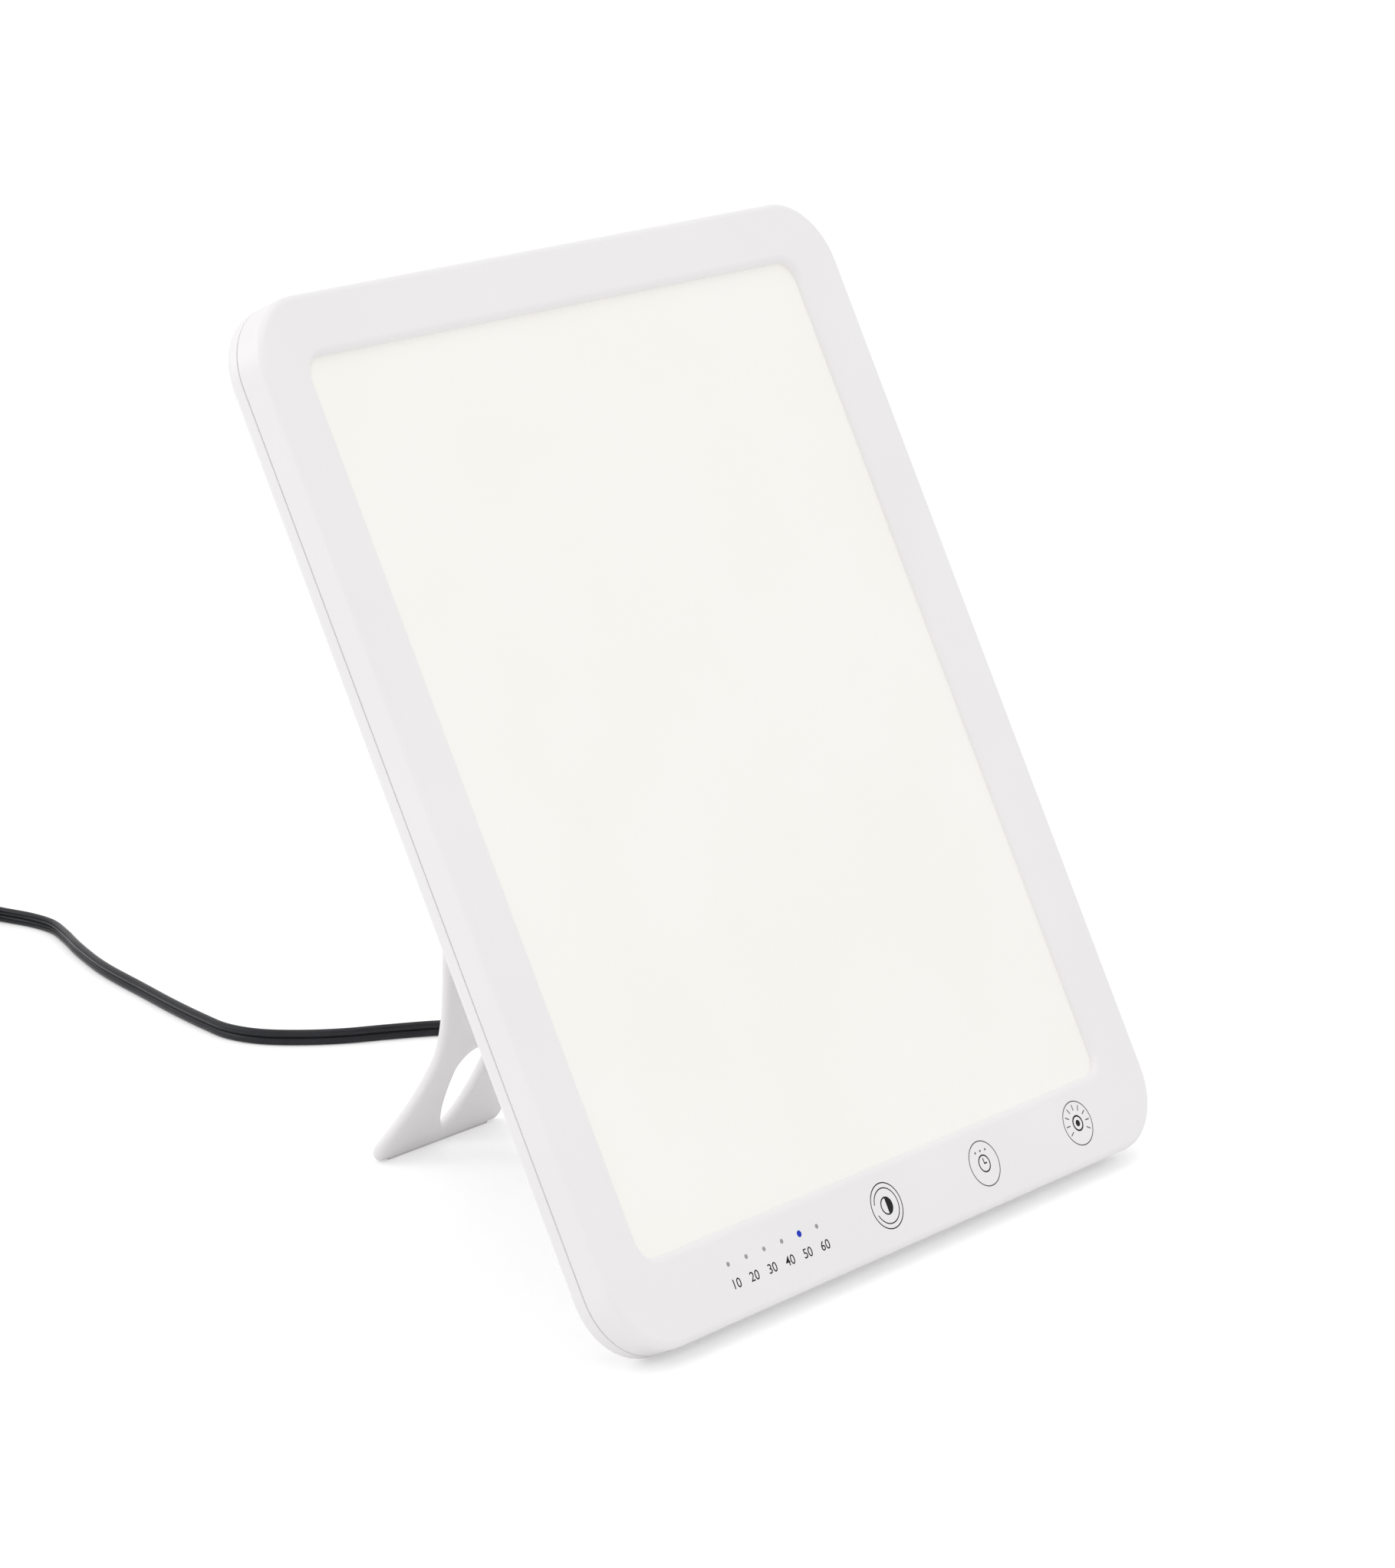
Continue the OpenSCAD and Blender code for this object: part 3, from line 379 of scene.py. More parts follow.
finishes = {
    "shell": {"dark": grey(245, (2, 0, 1)), "light": grey(248, (2, 0, 1)), "grain": 0.35,
              "roughness": (0.34, 0.42), "bump": 0.25, "depth": 0.008, "ior": 1.5},
    # painted light: the diffuser's faint glow, far weaker than the lamp at work, brightens its
    # white and lights the window's lip
    "diffuser": {"dark": grey(246, (1, 0, -5)), "light": grey(248, (1, 0, -4)), "grain": 0.5,
                 "roughness": (0.3, 0.36), "bump": 0.1, "depth": 0.005, "ior": 1.49,
                 "glow": (1.0, 0.97, 0.9), "glowStrength": 0.085},
    "film": {"dark": grey(225), "light": grey(236), "grain": 0.05, "drawn": True,
             "roughness": (0.15, 0.25), "bump": 0.4},
    "guide": {"dark": grey(232, (-4, 0, 2)), "light": grey(240, (-4, 0, 2)), "grain": 0.8,
              "roughness": (0.08, 0.14), "bump": 0.1, "ior": 1.49},
    "reflector": {"dark": grey(245), "light": grey(250), "grain": 0.3, "roughness": (0.4, 0.5)},
    "tray": {"dark": grey(185), "light": grey(205), "grain": 0.12, "drawn": True, "metallic": 1,
             "roughness": (0.28, 0.4), "bump": 0.25},
    "board": {"dark": grey(60, (-45, 25, -20)), "light": grey(75, (-45, 30, -20)), "grain": 0.6,
              "roughness": (0.25, 0.35), "coat": 0.4},
    "strip": {"dark": grey(228, (2, 2, -4)), "light": grey(236, (2, 2, -4)), "grain": 0.5,
              "roughness": (0.3, 0.4)},
    "led": {"dark": grey(235, (8, 0, -90)), "light": grey(245, (8, 2, -70)), "grain": 0.2,
            "roughness": (0.2, 0.3)},
    "foam": {"dark": grey(70), "light": grey(95), "grain": 0.7, "roughness": (0.8, 0.95),
             "bump": 0.9, "depth": 0.2},
    "pipe": {"dark": grey(150, (2, 0, 0)), "light": grey(168, (2, 0, 0)), "grain": 0.2,
             "roughness": (0.3, 0.45)},
    "lit_pipe": {"dark": grey(30, (-28, 4, 130)), "light": grey(40, (-34, 12, 140)), "grain": 0.2,
                 "roughness": (0.3, 0.4), "specular": 0.2, "glow": (0.0, 0.03, 0.45),
                 "glowStrength": 0.3},
    "steel": {"dark": grey(165), "light": grey(190), "grain": 0.1, "drawn": True, "metallic": 1,
              "roughness": (0.22, 0.34), "bump": 0.2},
    "pad": {"dark": grey(226), "light": grey(234), "grain": 0.5, "roughness": (0.7, 0.82),
            "bump": 0.5, "depth": 0.03},
    "black_plastic": {"dark": grey(30, (0, 0, 2)), "light": grey(38, (0, 0, 2)), "grain": 0.45,
                      "roughness": (0.38, 0.5), "bump": 0.5, "depth": 0.03, "ior": 1.5},
    "cable": {"dark": grey(24, (-1, 0, 4)), "light": grey(32, (-1, 0, 5)), "grain": 0.5,
              "toneSize": 14, "roughness": (0.3, 0.38), "bump": 0.15, "depth": 0.01, "ior": 1.5,
              "specular": 0.3},
    "plated": {"dark": grey(195), "light": grey(214), "grain": 0.15, "drawn": True, "metallic": 1,
               "roughness": (0.12, 0.2), "bump": 0.1},
    "blade_metal": {"dark": grey(196, (8, 0, -50)), "light": grey(212, (8, 0, -45)), "grain": 0.1,
                    "drawn": True, "metallic": 1, "roughness": (0.2, 0.32), "bump": 0.2},
    "ink": {"dark": grey(12, (0, 0, 2)), "light": grey(18, (0, 0, 2)), "grain": 0.1,
            "roughness": (0.5, 0.6), "bump": 0.1, "depth": 0.002, "specular": 0.25},
    "greyInk": {"dark": grey(96), "light": grey(106), "grain": 0.1,
                "roughness": (0.5, 0.6), "bump": 0.1, "depth": 0.002, "specular": 0.25},
}
# the rear shell's finish carries the painted seam shade
finishes["rearShell"] = dict(finishes["shell"], seam=grey(222, (2, 0, 1)))

materials = {slot: makeFinish(slot + "Finish", look) for slot, look in finishes.items()}


def paint(obj, slot):
    obj.data.materials.clear()
    obj.data.materials.append(materials[slot])


def dress(piece, node, slot, body="panel"):
    # the piece's skin, the body it moves with and the node it stands for
    smooth(piece)
    paint(piece, slot)
    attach(piece, body)
    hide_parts(node)
    return piece


for part in frame["record"]["subparts"]:
    if part["node"] in frame["nodes"]:
        node = frame["nodes"][part["node"]]
        # the rear cover takes the finish with the painted seam shade
        slot = "rearShell" if part["node"] == "rear_cover" else part["material_slot"]
        finish = materials[slot]
        if not node.material_slots:
            node.data.materials.append(finish)
        for s in node.material_slots:
            s.material = finish
print("scene: materials on the frame")

# the lead: one flat twin cable from the plug to the supply

lead = {
    "width": 5.2,
    "thickness": 2.7,
    "exit": (85.0, 12.0, -20.6),
    "corePoints": 13,
    "coreFrom": -66,
    "coreStep": 26,
    "route": [(95, -68.5, 7.7), (102, -68, 6.9), (111, -65, 5.1), (119, -60, 3.6),
              (126, -53, 2.8), (131, -43, 2.6), (134, -31, 2.6), (135, -17, 2.6), (134, 0, 2.6),
              (131, 20, 2.6), (127, 42, 2.6), (122, 65, 2.6), (117, 87, 2.6), (111, 109, 2.6),
              (104, 129, 2.6), (95, 146, 2.6), (84, 159, 2.6), (71, 169, 2.6), (58, 178, 2.6),
              (48, 188, 2.6), (41, 199, 2.6), (39, 211, 2.6), (42, 224, 2.6), (48, 243, 2.6),
              (56, 265, 2.6), (66, 292, 2.6), (77, 314, 2.6), (87, 331, 2.6), (93, 343, 2.6),
              (94.5, 355, 2.6), (93, 368, 2.7), (92, 380, 3)],
    "coilMiddle": (58, 402),
    "coilRadius": 34,
    "coilPitch": 3.4,
    "coilStep": 5,
    "turnsIn": 3.25,
    "turnsOut": 3.5,
    "climb": 180,
    "dip": 0.6,
    "low": 3.2,
    "rise": 5.7,
    "tail": 18,
    "tailSteps": 6,
    "ringGap": 2.2,
}


def coilPath(s):
    # inwards on the table, up to the second layer, then outwards and off in a straight tail
    inner = s["coilRadius"] - s["turnsIn"] * s["coilPitch"]
    a1 = 360 * s["turnsIn"]
    a2 = a1 + s["climb"]
    a3 = a2 + 360 * s["turnsOut"]
    points = []
    for i in range(int(a3 / s["coilStep"]) + 1):
        a = i * s["coilStep"]
        if a <= a1:
            r = s["coilRadius"] - s["coilPitch"] * a / 360
        elif a <= a2:
            r = inner - s["dip"] * math.sin(math.radians(a - a1))
        else:
            r = inner + s["coilPitch"] * (a - a2) / 360
        z = s["low"] + s["rise"] * max(0, min(1, (a - a1) / s["climb"]))
        x = s["coilMiddle"][0] + r * math.cos(math.radians(a))
        y = s["coilMiddle"][1] + r * math.sin(math.radians(a))
        points.append(Vector((x, y, z)))
    last, n = points[-1], s["tailSteps"]
    return points + [last - Vector((k * s["tail"] / n, 0, 0)) for k in range(1, n + 1)]


def smoothThrough(points, step):
    # an even curve through the route's points
    out = []
    for i in range(len(points) - 1):
        p0 = points[max(i - 1, 0)]
        p1, p2 = points[i], points[i + 1]
        p3 = points[min(i + 2, len(points) - 1)]
        n = max(1, round((p2 - p1).length / step))
        for k in range(n):
            t = k / n
            out.append(0.5 * (2 * p1 + (p2 - p0) * t + (2 * p0 - 5 * p1 + 4 * p2 - p3) * t * t
                              + (3 * p1 - p0 - 3 * p2 + p3) * t ** 3))
    return out + [points[-1]]


def twinSection(s):
    # two round cores side by side, with a groove between them
    r = s["thickness"] / 2
    out = []
    offset, first = s["width"] / 2 - r, s["coreFrom"]
    for centre, start in ((offset, first), (-offset, first + 180)):
        for k in range(s["corePoints"]):
            a = math.radians(start + s["coreStep"] * k)
            out.append((r * math.cos(a), centre + r * math.sin(a)))
    return out


def makeLead(s):
    start = panelMatrix(*s["exit"]).translation / mm
    coil = coilPath(s)
    straight = Vector((0, s["width"], 0))
    leave = [start, start + Vector((s["width"], 0, 0))]
    arrive = [coil[0] - 2 * straight, coil[0] - straight, coil[0]]
    path = smoothThrough(leave + [Vector(p) for p in s["route"]] + arrive, s["ringGap"])
    path = path[:-1] + coil
    section = twinSection(s)
    verts, faces = [], []
    n = len(section)
    for i, p in enumerate(path):
        d = path[min(i + 1, len(path) - 1)] - path[max(i - 1, 0)]
        d = Vector((d.x, d.y, 0)).normalized()
        side = Vector((d.y, -d.x, 0))
        verts += [(p + side * u + Vector((0, 0, v))) * mm for u, v in section]
    for i in range(len(path) - 1):
        for k in range(n):
            a, b = i * n + k, i * n + (k + 1) % n
            faces.append((a, a + n, b + n, b))
    faces.append(tuple(range(n)))
    faces.append(tuple(len(verts) - 1 - k for k in range(n)))
    mesh = bpy.data.meshes.new("powerLead")
    mesh.from_pydata(verts, [], faces)
    obj = bpy.data.objects.new("powerLead", mesh)
    bpy.context.collection.objects.link(obj)
    outward(obj)
    smooth(obj, 50)
    paint(obj, "cable")
    length = sum((path[i + 1] - path[i]).length for i in range(len(path) - 1))
    print("scene: lead length", round(length, 1), "mm")
    return obj, [p * mm for p in path], length * mm


leadPiece, leadPath, leadLength = makeLead(lead)

# floor, world and lamps

light = {
    "floorSize": 12,
    "worldStrength": 0.8,
    "floorColour": 0.9,
    "floorGlow": 0.29,
}


def backgroundRays(nodes, links):
    # 1 for the rays that show the background, 0 for those that light the object
    rays = nodes.new("ShaderNodeLightPath")
    seen = nodes.new("ShaderNodeMath")
    seen.operation = "MAXIMUM"
    links.new(rays.outputs["Is Camera Ray"], seen.inputs[0])
    links.new(rays.outputs["Is Glossy Ray"], seen.inputs[1])
    return seen.outputs[0]


def makeStage(s):
    clearSelection()
    bpy.ops.mesh.primitive_plane_add(size=s["floorSize"], location=(0, 0, 0))
    floor = bpy.context.object
    floor.name = "floor"
    mat = bpy.data.materials.new("floorWhite")
    mat.use_nodes = True
    nodes, links = mat.node_tree.nodes, mat.node_tree.links
    out = nodes["Material Output"]
    nodes.remove(nodes["Principled BSDF"])
    matt = nodes.new("ShaderNodeBsdfDiffuse")
    matt.inputs["Color"].default_value = (s["floorColour"],) * 3 + (1,)
    glow = nodes.new("ShaderNodeEmission")
    scaled = nodes.new("ShaderNodeMath")
    scaled.operation = "MULTIPLY"
    scaled.inputs[1].default_value = s["floorGlow"]
    links.new(backgroundRays(nodes, links), scaled.inputs[0])
    links.new(scaled.outputs[0], glow.inputs["Strength"])
    both = nodes.new("ShaderNodeAddShader")
    links.new(matt.outputs[0], both.inputs[0])
    links.new(glow.outputs[0], both.inputs[1])
    links.new(both.outputs[0], out.inputs["Surface"])
    floor.data.materials.append(mat)

    world = bpy.data.worlds.new("whiteRoom")
    bpy.context.scene.world = world
    world.use_nodes = True
    nodes, links = world.node_tree.nodes, world.node_tree.links
    back = nodes["Background"]
    back.inputs["Color"].default_value = (1, 1, 1, 1)
    level = nodes.new("ShaderNodeMapRange")
    level.inputs["To Min"].default_value = s["worldStrength"]
    level.inputs["To Max"].default_value = 1
    links.new(backgroundRays(nodes, links), level.inputs["Value"])
    links.new(level.outputs["Result"], back.inputs["Strength"])


makeStage(light)


def addSoftLight(name, spot, aim, size, power):
    data = bpy.data.lights.new(name, "AREA")
    data.shape = "DISK"
    data.size = size
    data.energy = power
    obj = bpy.data.objects.new(name, data)
    bpy.context.collection.objects.link(obj)
    obj.location = spot
    obj.rotation_mode = "QUATERNION"
    obj.rotation_quaternion = (Vector(aim) - Vector(spot)).to_track_quat("-Z", "Y")


# each lamp's spot, aim, size in metres and power in watts
softLights = {
    "topSoft": ((0.1, -0.3, 2.1), (0, 0, 0.12), 1.6, 5.0),
    "backSoft": ((-0.7, 0.95, 0.75), (0, 0.05, 0.02), 0.8, 2.2),
    "frontSoft": ((-1.6, -1.0, 0.85), (0, 0.05, 0.08), 0.3, 0.9),
}
for name, (spot, aim, size, power) in softLights.items():
    addSoftLight(name, spot, aim, size, power)
print("scene: stage and light")

# the stand, rounded all round

stand = {
    "footHalf": 29.2, "neckHalf": 19.0, "topHalf": 56.0, "neckUp": 36.0, "shoulderUp": 132.0,
    "leafHalf": 7.15, "leafLow": 7.0, "leafHigh": 37.75,
    "round": 1.6, "barrel": 3.8, "barrelSides": 48, "barrelEdge": 0.5,
    "bracketX": 36.0, "notchHalf": 6.3, "notchDeep": 4.2,
    "padThickness": 0.8, "stopReach": 6.6, "stopThick": 2.0, "stopHalf": 24.0, "stopTurn": 43.34,
    "stopEdge": 0.4,
}


def rounded(p0, p1, p2, p3, n):
    # points along one curved stretch of an outline, its last left out
    out = []
    for i in range(n):
        t = i / n
        u = 1 - t
        k = (u ** 3, 3 * u * u * t, 3 * u * t * t, t ** 3)
        out.append(tuple(sum(w * p[j] for w, p in zip(k, (p0, p1, p2, p3))) for j in (0, 1)))
    return out


def bothSides(right):
    return right + [(-x, y) for x, y in reversed(right)]


def standOutline(s):
    # foot, flare, neck and shoulder of the right side, then the hinge's notches
    f, n, t = s["footHalf"], s["neckHalf"], s["topHalf"]
    up, shoulder, top = s["neckUp"], s["shoulderUp"], place["standLength"]
    inner, outer = s["bracketX"] - s["notchHalf"], s["bracketX"] + s["notchHalf"]
    low = top - s["notchDeep"]
    right = [(f - 6, -4)]
    right += rounded((f - 6, 0), (f - 0.6, 0), (f + 1.2, 4.2), (f - 1.7, 8), 14)
    right += rounded((f - 1.7, 8), (f - 5.6, 15), (n, up - 12), (n, up), 20)
    right += rounded((n, up), (n, up + 20), (t, shoulder - 28), (t, shoulder), 36)
    right += [(t, shoulder), (t, top), (outer, top), (outer, low), (inner, low), (inner, top)]
    return bothSides(right)


def leafOutline(s):
    # the opening: pointed below, round above
    h, low, high = s["leafHalf"], s["leafLow"], s["leafHigh"]
    right = rounded((0.6, low), (4.3, low + 3.5), (h, low + 13), (h, high - h), 18)
    for i in range(12):
        a = math.radians(90 * i / 11.5)
        right.append((h * math.cos(a), high - h + h * math.sin(a)))
    return bothSides(right)


def drawnIn(points, distance):
    # the outline moved to its left by distance, with square joins
    out = []
    for i, p in enumerate(points):
        a, b = Vector(points[i - 1]), Vector(points[(i + 1) % len(points)])
        p = Vector(p)
        d0, d1 = (p - a).normalized(), (b - p).normalized()
        m = (d0 + d1).normalized()
        out.append(p + Vector((-m.y, m.x)) * distance / max(0.5, m.dot(d0)))
    return out


def addLoop(curve, points):
    spline = curve.splines.new("POLY")
    spline.points.add(len(points) - 1)
    for c, p in zip(spline.points, points):
        c.co = (p[0], p[1], 0, 1)
    spline.use_cyclic_u = True


def flatPlate(name, outline, holes, thickness, radius, matrix):
    # a plate with rounded rims, its middle plane on the matrix's XY plane
    curve = bpy.data.curves.new(name, "CURVE")
    curve.dimensions = "2D"
    curve.fill_mode = "BOTH"
    curve.bevel_depth = radius
    curve.bevel_resolution = 4
    curve.extrude = thickness / 2 - radius
    addLoop(curve, drawnIn(outline, radius))
    for hole in holes:
        addLoop(curve, drawnIn(hole, -radius))
    plate = bpy.data.objects.new(name, curve)
    bpy.context.collection.objects.link(plate)
    only(plate)
    bpy.ops.object.convert(target="MESH")
    plate = bpy.context.object
    plate.matrix_world = matrix @ Matrix.Scale(mm, 4)
    settle(plate)
    outward(plate)
    return plate


def cutLevel(obj, height, keepUpper):
    only(obj)
    bpy.ops.object.mode_set(mode="EDIT")
    bpy.ops.mesh.select_all(action="SELECT")
    bpy.ops.mesh.bisect(plane_co=(0, 0, height * mm), plane_no=(0, 0, 1), use_fill=True,
                        clear_inner=keepUpper, clear_outer=not keepUpper)
    bpy.ops.object.mode_set(mode="OBJECT")


def roundedRect(x0, y0, x1, y1, r, steps=8):
    out = []
    for cx, cy, first in ((x1 - r, y0 + r, -90), (x1 - r, y1 - r, 0), (x0 + r, y1 - r, 90),
                          (x0 + r, y0 + r, 180)):
        for k in range(steps + 1):
            a = math.radians(first + 90 * k / steps)
            out.append((cx + r * math.cos(a), cy + r * math.sin(a)))
    return out


def makeStand(s):
    plate = flatPlate("standPlate", standOutline(s), [leafOutline(s)], panel["standThickness"],
                      s["round"], standMatrix())
    # the foot is level with the table on top of its pad
    cutLevel(plate, s["padThickness"], True)
    pieces = [plate]
    axle = Matrix.Translation((0, (place["pivotBack"] - place["midY"]) * mm, place["pivotUp"] * mm))
    inner, outer = s["bracketX"] - s["notchHalf"], s["bracketX"] + s["notchHalf"]
    for low, high in ((-s["topHalf"], -outer), (-inner, inner), (outer, s["topHalf"])):
        clearSelection()
        bpy.ops.mesh.primitive_cylinder_add(vertices=s["barrelSides"], radius=s["barrel"] * mm,
                                            depth=(high - low) * mm, rotation=(0, math.pi / 2, 0))
        tube = bpy.context.object
        tube.location = axle.translation + Vector(((low + high) / 2 * mm, 0, 0))
        settle(tube)
        bevel(tube, s["barrelEdge"] * mm, 3, 60)
        pieces.append(tube)
    clearSelection()
    bpy.ops.mesh.primitive_cube_add(size=1)
    stop = bpy.context.object
    stop.scale = (2 * s["stopHalf"] * mm, s["stopThick"] * mm, s["stopReach"] * mm)
    settle(stop)
    bevel(stop, s["stopEdge"] * mm)
    lift = Matrix.Translation((0, s["stopThick"] / 2 * mm, s["stopReach"] / 2 * mm))
    turn = Matrix.Rotation(-math.radians(s["stopTurn"]), 4, "X")
    upright = Matrix.Rotation(math.pi / 2 - math.radians(panel["lean"]), 4, "X")
    stop.matrix_world = axle @ upright @ turn @ lift
    settle(stop)
    pieces.append(stop)
    return join(pieces, "standPlate")


dress(makeStand(stand), "stand_plate", "shell", "stand")
print("scene: stand")

# printed marks below the window

marks = {
    "touchHeight": 13.0, "touchX": (-7.9, 40.4, 88.7), "ringRadius": 6.92, "line": 0.36,
    "innerRing": 5.4, "innerFrom": -163, "innerTo": 165,
    "smallRing": 2.7, "smallLine": 0.45, "smallSteps": 64, "discRadius": 2.5,
    "hands": ((1.9, 0.42, 0, 0.75, 90), (1.5, 0.42, 0.55, 0, 0)),
    "timeDot": 0.36, "timeDots": ((-2.42, 3.75), (0, 3.85), (2.42, 3.75)),
    "rays": 9, "rayFrom": -30, "rayPitch": 30, "rayLength": 1.9, "rayWide": 0.38,
    "rayRadius": 4.85, "sunRing": 2.5, "sunLine": 0.55, "sunDot": 1.0,
    "numbers": ("10", "20", "30", "40", "50", "60"),
    "numberX": -79.8, "numberPitch": 8.14, "numberHeight": 9.6, "numberSize": 3.95,
    "numberWide": 1.06, "numberBold": 0.02, "numberSteps": 6,
    "gap": 0.001, "proud": 0.012,
}


def arcBand(radius, width, first, last, steps=96):
    # a circle of edges drawn out into a thin band, then cut to an arc
    clearSelection()
    bpy.ops.mesh.primitive_circle_add(vertices=steps, radius=(radius - width) * mm,
                                      fill_type="NOTHING")
    band = bpy.context.object
    bpy.ops.object.mode_set(mode="EDIT")
    bpy.ops.mesh.select_all(action="SELECT")
    bpy.ops.mesh.extrude_edges_move()
    grow = radius / (radius - width)
    bpy.ops.transform.resize(value=(grow, grow, 1), center_override=(0, 0, 0))
    bpy.ops.object.mode_set(mode="OBJECT")
    if last - first < 360:
        for f in band.data.polygons:
            a = math.degrees(math.atan2(f.center.y, f.center.x)) % 360
            f.select = not (first <= a <= last or first <= a - 360 <= last)
        bpy.ops.object.mode_set(mode="EDIT")
        bpy.context.tool_settings.mesh_select_mode = (False, False, True)
        bpy.ops.mesh.delete(type="FACE")
        bpy.ops.object.mode_set(mode="OBJECT")
    return band


def dot(radius, x=0.0, y=0.0):
    clearSelection()
    bpy.ops.mesh.primitive_circle_add(vertices=32, radius=radius * mm, fill_type="NGON",
                                      location=(x * mm, y * mm, 0))
    d = bpy.context.object
    settle(d)
    return d


def bar(length, width, x, y, degrees):
    # a flat stroke with round ends, its middle at x, y
    clearSelection()
    bpy.ops.mesh.primitive_circle_add(vertices=24, radius=width / 2 * mm, fill_type="NGON")
    b = bpy.context.object
    for v in b.data.vertices:
        v.co.x += math.copysign((length - width) / 2 * mm, v.co.x + 1e-9)
    b.rotation_euler.z = math.radians(degrees)
    b.location = (x * mm, y * mm, 0)
    settle(b)
    return b


def halfDisc(radius):
    d = dot(radius)
    bpy.ops.object.mode_set(mode="EDIT")
    bpy.ops.mesh.select_all(action="SELECT")
    bpy.ops.mesh.bisect(plane_co=(0, 0, 0), plane_no=(1, 0, 0), clear_inner=True)
    bpy.ops.object.mode_set(mode="OBJECT")
    return d


def printed(objs, name, x, h, slot):
    mark = join(objs, name)
    thick = mark.modifiers.new("film", "SOLIDIFY")
    thick.thickness = marks["proud"] * mm
    thick.offset = 1
    applyModifiers(mark)
    outward(mark)
    mark.matrix_world = panelMatrix(x, h, marks["gap"])
    settle(mark)
    paint(mark, slot)
    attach(mark, "panel")
    return mark


def makeMarks(s):
    r, w, h = s["ringRadius"], s["line"], s["touchHeight"]
    small = s["smallRing"], s["smallLine"], 0, 360, s["smallSteps"]
    # colour of light: a disc half filled, inside a ring and a broken ring
    x = s["touchX"][0]
    printed([arcBand(r, w, 0, 360), arcBand(s["innerRing"], w, s["innerFrom"], s["innerTo"]),
             arcBand(*small), halfDisc(s["discRadius"])], "markColour", x, h, "ink")
    # time: a clock face and three dots
    x = s["touchX"][1]
    printed([arcBand(r, w, 0, 360)], "markTimeRing", x, h, "greyInk")
    printed([arcBand(*small)] + [bar(*hand) for hand in s["hands"]], "markTime", x, h, "ink")
    printed([dot(s["timeDot"], *spot) for spot in s["timeDots"]], "markTimeDots", x, h, "greyInk")
    # brightness: a small sun with a sweep of rays
    x = s["touchX"][2]
    rays = []
    for i in range(s["rays"]):
        degrees = s["rayFrom"] + i * s["rayPitch"]
        a = math.radians(degrees)
        rays.append(bar(s["rayLength"], s["rayWide"], s["rayRadius"] * math.cos(a),
                        s["rayRadius"] * math.sin(a), degrees))
    printed([arcBand(r, w, 0, 360)] + rays, "markBrightRing", x, h, "greyInk")
    printed([arcBand(s["sunRing"], s["sunLine"], 0, 360, s["smallSteps"]), dot(s["sunDot"])],
            "markBright", x, h, "ink")
    for i, text in enumerate(s["numbers"]):
        clearSelection()
        bpy.ops.object.text_add()
        t = bpy.context.object
        t.data.body = text
        t.data.size = s["numberSize"] * mm
        t.data.align_x = "CENTER"
        t.data.align_y = "CENTER"
        t.data.resolution_u = s["numberSteps"]
        t.data.offset = s["numberBold"] * mm
        t.scale = (s["numberWide"], 1, 1)
        bpy.ops.object.convert(target="MESH")
        t = bpy.context.object
        settle(t)
        x = s["numberX"] + i * s["numberPitch"]
        printed([t], "number" + text, x, s["numberHeight"], "ink")


makeMarks(marks)
print("scene: printed marks")

# plug, strain reliefs, supply and tie

relief = {"length": 22.0, "wide": 3.9, "narrow": 3.0, "ribs": 7, "groove": 0.45,
          "plainEnd": 3, "edge": 0.12}


def ringStack(name, rings, sides=40):
    # a round body along +X, drawn out ring by ring: (distance, radius) in millimetres
    clearSelection()
    x0, r0 = rings[0]
    bpy.ops.mesh.primitive_circle_add(vertices=sides, radius=r0 * mm, fill_type="NGON",
                                      location=(0, 0, 0), rotation=(0, math.pi / 2, 0))
    body = bpy.context.object
    settle(body)
    bpy.ops.object.mode_set(mode="EDIT")
    bpy.ops.mesh.select_all(action="SELECT")
    x, r = x0, r0
    bpy.ops.transform.translate(value=(x0 * mm, 0, 0))
    for x1, r1 in rings[1:]:
        bpy.ops.mesh.extrude_region_move(TRANSFORM_OT_translate={"value": ((x1 - x) * mm, 0, 0)})
        k = r1 / r
        bpy.ops.transform.resize(value=(1, k, k), center_override=(x1 * mm, 0, 0))
        x, r = x1, r1
    bpy.ops.object.mode_set(mode="OBJECT")
    body.name = name
    outward(body)
    return body


def reliefRadius(s, x):
    return s["wide"] + (s["narrow"] - s["wide"]) * x / s["length"]


def reliefRings(s):
    # a rib and a groove to each pitch, then a plain end with a soft rim
    rings = []
    plain = s["length"] - s["plainEnd"]
    pitch = plain / s["ribs"]
    for i in range(s["ribs"]):
        x = i * pitch
        r = reliefRadius(s, x)
        rings += [(x, r), (x + pitch * 0.5, r),
                  (x + pitch * 0.56, r - s["groove"]), (x + pitch * 0.94, r - s["groove"])]
    return rings + [(plain, reliefRadius(s, plain)), (s["length"] - 0.4, s["narrow"]),
                    (s["length"], s["narrow"] - 0.3)]


def makeRelief(name, node, corner):
    sleeve = ringStack(name, reliefRings(relief))
    sleeve.location = corner
    settle(sleeve)
    bevel(sleeve, relief["edge"] * mm, 2, 40)
    return dress(sleeve, node, "black_plastic")


# the near rings are measured from a body's start, the far ones from its end
plug = {"x": 46.0, "h": 12.0, "armDepth": -20.6, "armRadius": 4.3, "armLength": 17.0,
        "armNear": ((0, -0.6), (0.4, -0.1), (0.9, 0)),
        "armFar": ((-5, 0), (-4.4, -0.35), (-3.8, -0.35), (-3.2, 0), (-0.6, 0), (0, -0.5)),
        "stubRadius": 4.7, "stubFrom": -15.2, "stubLength": 10.0,
        "stubNear": ((0, -0.5), (0.5, 0)), "stubFar": ((-1.6, 0), (-0.5, -0.45), (0, -1.4)),
        "edge": 0.15}


def ringsOf(radius, length, near, far):
    return ([(x, radius + d) for x, d in near] + [(length + x, radius + d) for x, d in far])


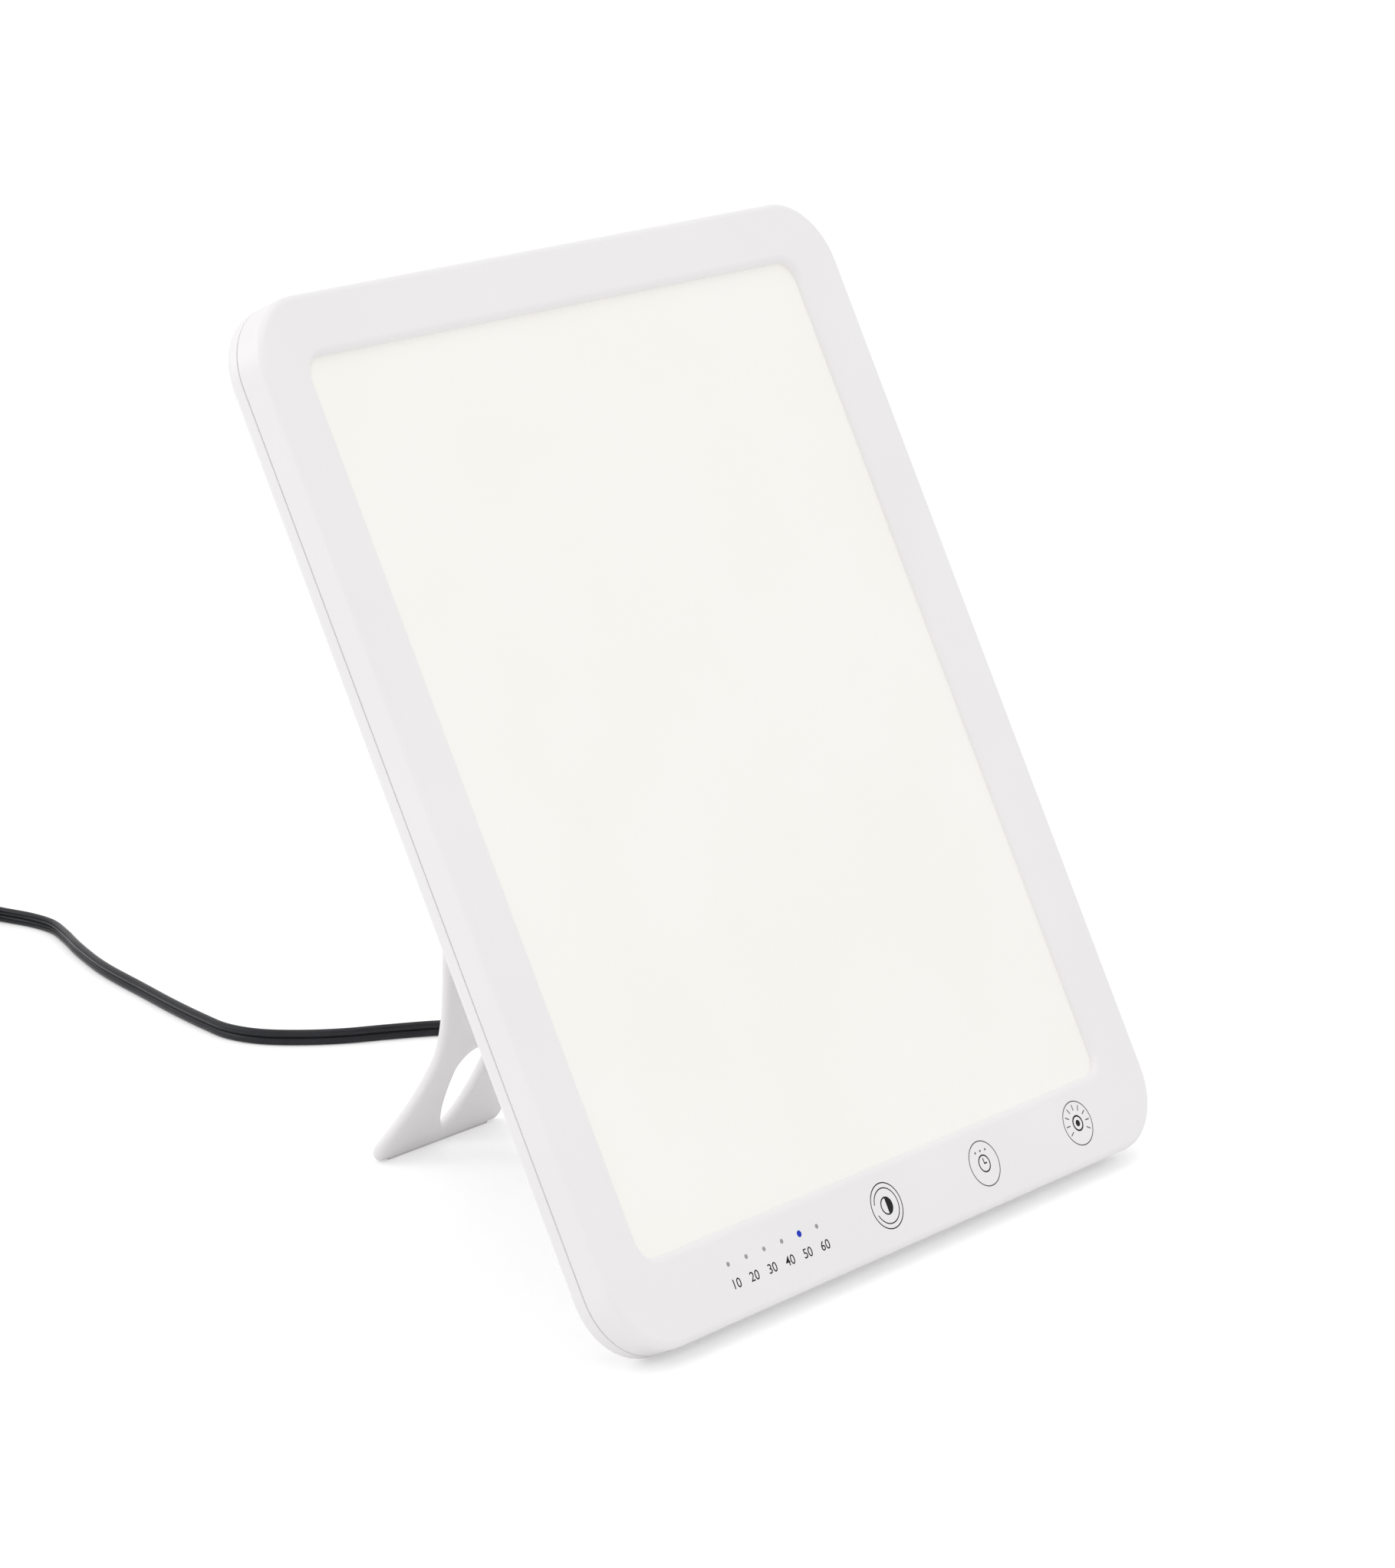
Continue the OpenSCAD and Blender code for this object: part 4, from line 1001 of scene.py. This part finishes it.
def makePlug(s):
    arm = ringStack("plugArm", ringsOf(s["armRadius"], s["armLength"], s["armNear"], s["armFar"]))
    arm.location = panelMatrix(s["x"], s["h"], s["armDepth"]).translation
    settle(arm)
    stub = ringStack("plugStub", ringsOf(s["stubRadius"], s["stubLength"], s["stubNear"],
                                         s["stubFar"]))
    # the stub runs back from the panel, so its +X is turned to the panel's -n
    start = panelMatrix(s["x"], s["h"], s["stubFrom"])
    stub.matrix_world = start @ Matrix.Rotation(math.pi / 2, 4, "Y")
    settle(stub)
    body = join([arm, stub], "plugBody")
    bevel(body, s["edge"] * mm, 2, 40)
    return dress(body, "plug_body", "black_plastic")


supply = {"x": (-42.0, 18.0), "y": (417.85, 455.85), "height": 26.0, "corner": 5.0, "edge": 1.5,
          "baseTop": 14.15, "coverFrom": 14.45, "recess": 4.0, "recessDepth": 0.35,
          "coreInset": 2.0, "coreCorner": 3.0, "coreEdge": 0.05, "coreHeight": 1.15,
          "coreMiddle": 13.875,
          "bladeX": -19.2, "bladePitch": 12.7, "bladeWide": 6.4, "bladeThick": 1.5,
          "bladeEdge": 0.25, "bladeTaper": 1.6, "bladeTip": 2.2,
          "bladeFrom": 20.0, "bladeTo": 43.0, "bladeHole": 1.6, "bladeHoleFrom": 4.0}

plugPiece = makePlug(plug)
plugEnd = panelMatrix(plug["x"] + plug["armLength"], plug["h"], plug["armDepth"]).translation
plugRelief = makeRelief("plugRelief", "plug_relief", plugEnd)
supplyEnd = Vector((supply["x"][1], sum(supply["y"]) / 2, lead["low"] + lead["rise"])) * mm
supplyRelief = makeRelief("supplyRelief", "supply_relief", supplyEnd)


def supplyPlate(name, s, inset, corner, height, edge, middle):
    # a block with the supply's outline, drawn in by inset
    x0, x1 = s["x"]
    y0, y1 = s["y"]
    outline = roundedRect(x0 + inset, y0 + inset, x1 - inset, y1 - inset, corner)
    return flatPlate(name, outline, [], height, edge, Matrix.Translation((0, 0, middle * mm)))


def supplyHalf(name, s, upper):
    half = supplyPlate(name, s, 0, s["corner"], s["height"], s["edge"], s["height"] / 2)
    cutLevel(half, s["coverFrom"] if upper else s["baseTop"], upper)
    return half


def sinkTop(obj, height, inset, depth):
    # a shallow field sunk into the flat top
    only(obj)
    for f in obj.data.polygons:
        f.select = f.normal.z > 0.99 and abs(f.center.z - height * mm) < 1e-5
    bpy.ops.object.mode_set(mode="EDIT")
    bpy.context.tool_settings.mesh_select_mode = (False, False, True)
    bpy.ops.mesh.inset(thickness=inset * mm)
    bpy.ops.mesh.inset(thickness=depth * mm, depth=-depth * mm)
    bpy.ops.object.mode_set(mode="OBJECT")


def makeBlades(s):
    # two flat blades, narrowed at the tip and drilled near it
    w, low, high = s["bladeWide"] / 2, s["bladeFrom"], s["bladeTo"]
    shoulder, tip = high - s["bladeTip"], w - s["bladeTaper"]
    outline = [(-w, low), (w, low), (w, shoulder), (tip, high), (-tip, high), (-w, shoulder)]
    r = s["bladeHole"]
    hole = [(r * math.cos(math.radians(a)),
             high - s["bladeHoleFrom"] + r * math.sin(math.radians(a)))
            for a in range(0, 360, 15)]
    upright = Matrix.Rotation(math.pi / 2, 4, "X")
    both = []
    for side in (-1, 1):
        y = sum(s["y"]) / 2 + side * s["bladePitch"] / 2
        spot = Matrix.Translation((s["bladeX"] * mm, y * mm, 0))
        both.append(flatPlate("blade", outline, [hole], s["bladeThick"], s["bladeEdge"],
                              spot @ upright))
    return join(both, "supplyBlades")


tie = {"wide": 6.0, "thick": 0.5, "gap": 0.1, "edge": 0.12, "outerCorner": 1.5,
       "innerCorner": 1.0}


def makeTie(s, strap):
    # a flat strap closed round one side of the coil
    inner = s["coilRadius"] - s["turnsIn"] * s["coilPitch"]
    wide, thick, gap = strap["wide"], strap["thick"], strap["gap"]
    half = s["thickness"] / 2
    near = math.sqrt((inner - s["dip"] - half - gap) ** 2 - (wide / 2) ** 2)
    far = s["coilRadius"] - s["coilPitch"] / 2 + half + gap
    top = s["low"] + s["rise"] + s["width"] / 2 + gap
    x = s["coilMiddle"][0]
    outline = roundedRect(x - far - thick, 0, x - near + thick, top + thick,
                          strap["outerCorner"])
    hole = roundedRect(x - far, thick, x - near, top, strap["innerCorner"])
    spot = Matrix.Translation((0, s["coilMiddle"][1] * mm, 0))
    return flatPlate("coilTie", outline, [hole], wide, strap["edge"],
                     spot @ Matrix.Rotation(math.pi / 2, 4, "X"))


# the core fills the seam between the supply's two halves
supplyCore = supplyPlate("supplyCore", supply, supply["coreInset"], supply["coreCorner"],
                         supply["coreHeight"], supply["coreEdge"], supply["coreMiddle"])
supplyBase = dress(join([supplyHalf("supplyBase", supply, False), supplyCore], "supplyBase"),
                   "supply_base", "black_plastic")
supplyCover = supplyHalf("supplyCover", supply, True)
sinkTop(supplyCover, supply["height"], supply["recess"], supply["recessDepth"])
dress(supplyCover, "supply_cover", "black_plastic")
supplyBlades = dress(makeBlades(supply), "supply_blades", "blade_metal")
coilTie = dress(makeTie(lead, tie), "coil_tie", "black_plastic")

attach(leadPiece, "panel")
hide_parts("power_lead", "lead_coil")
print("scene: lead, plug and supply")
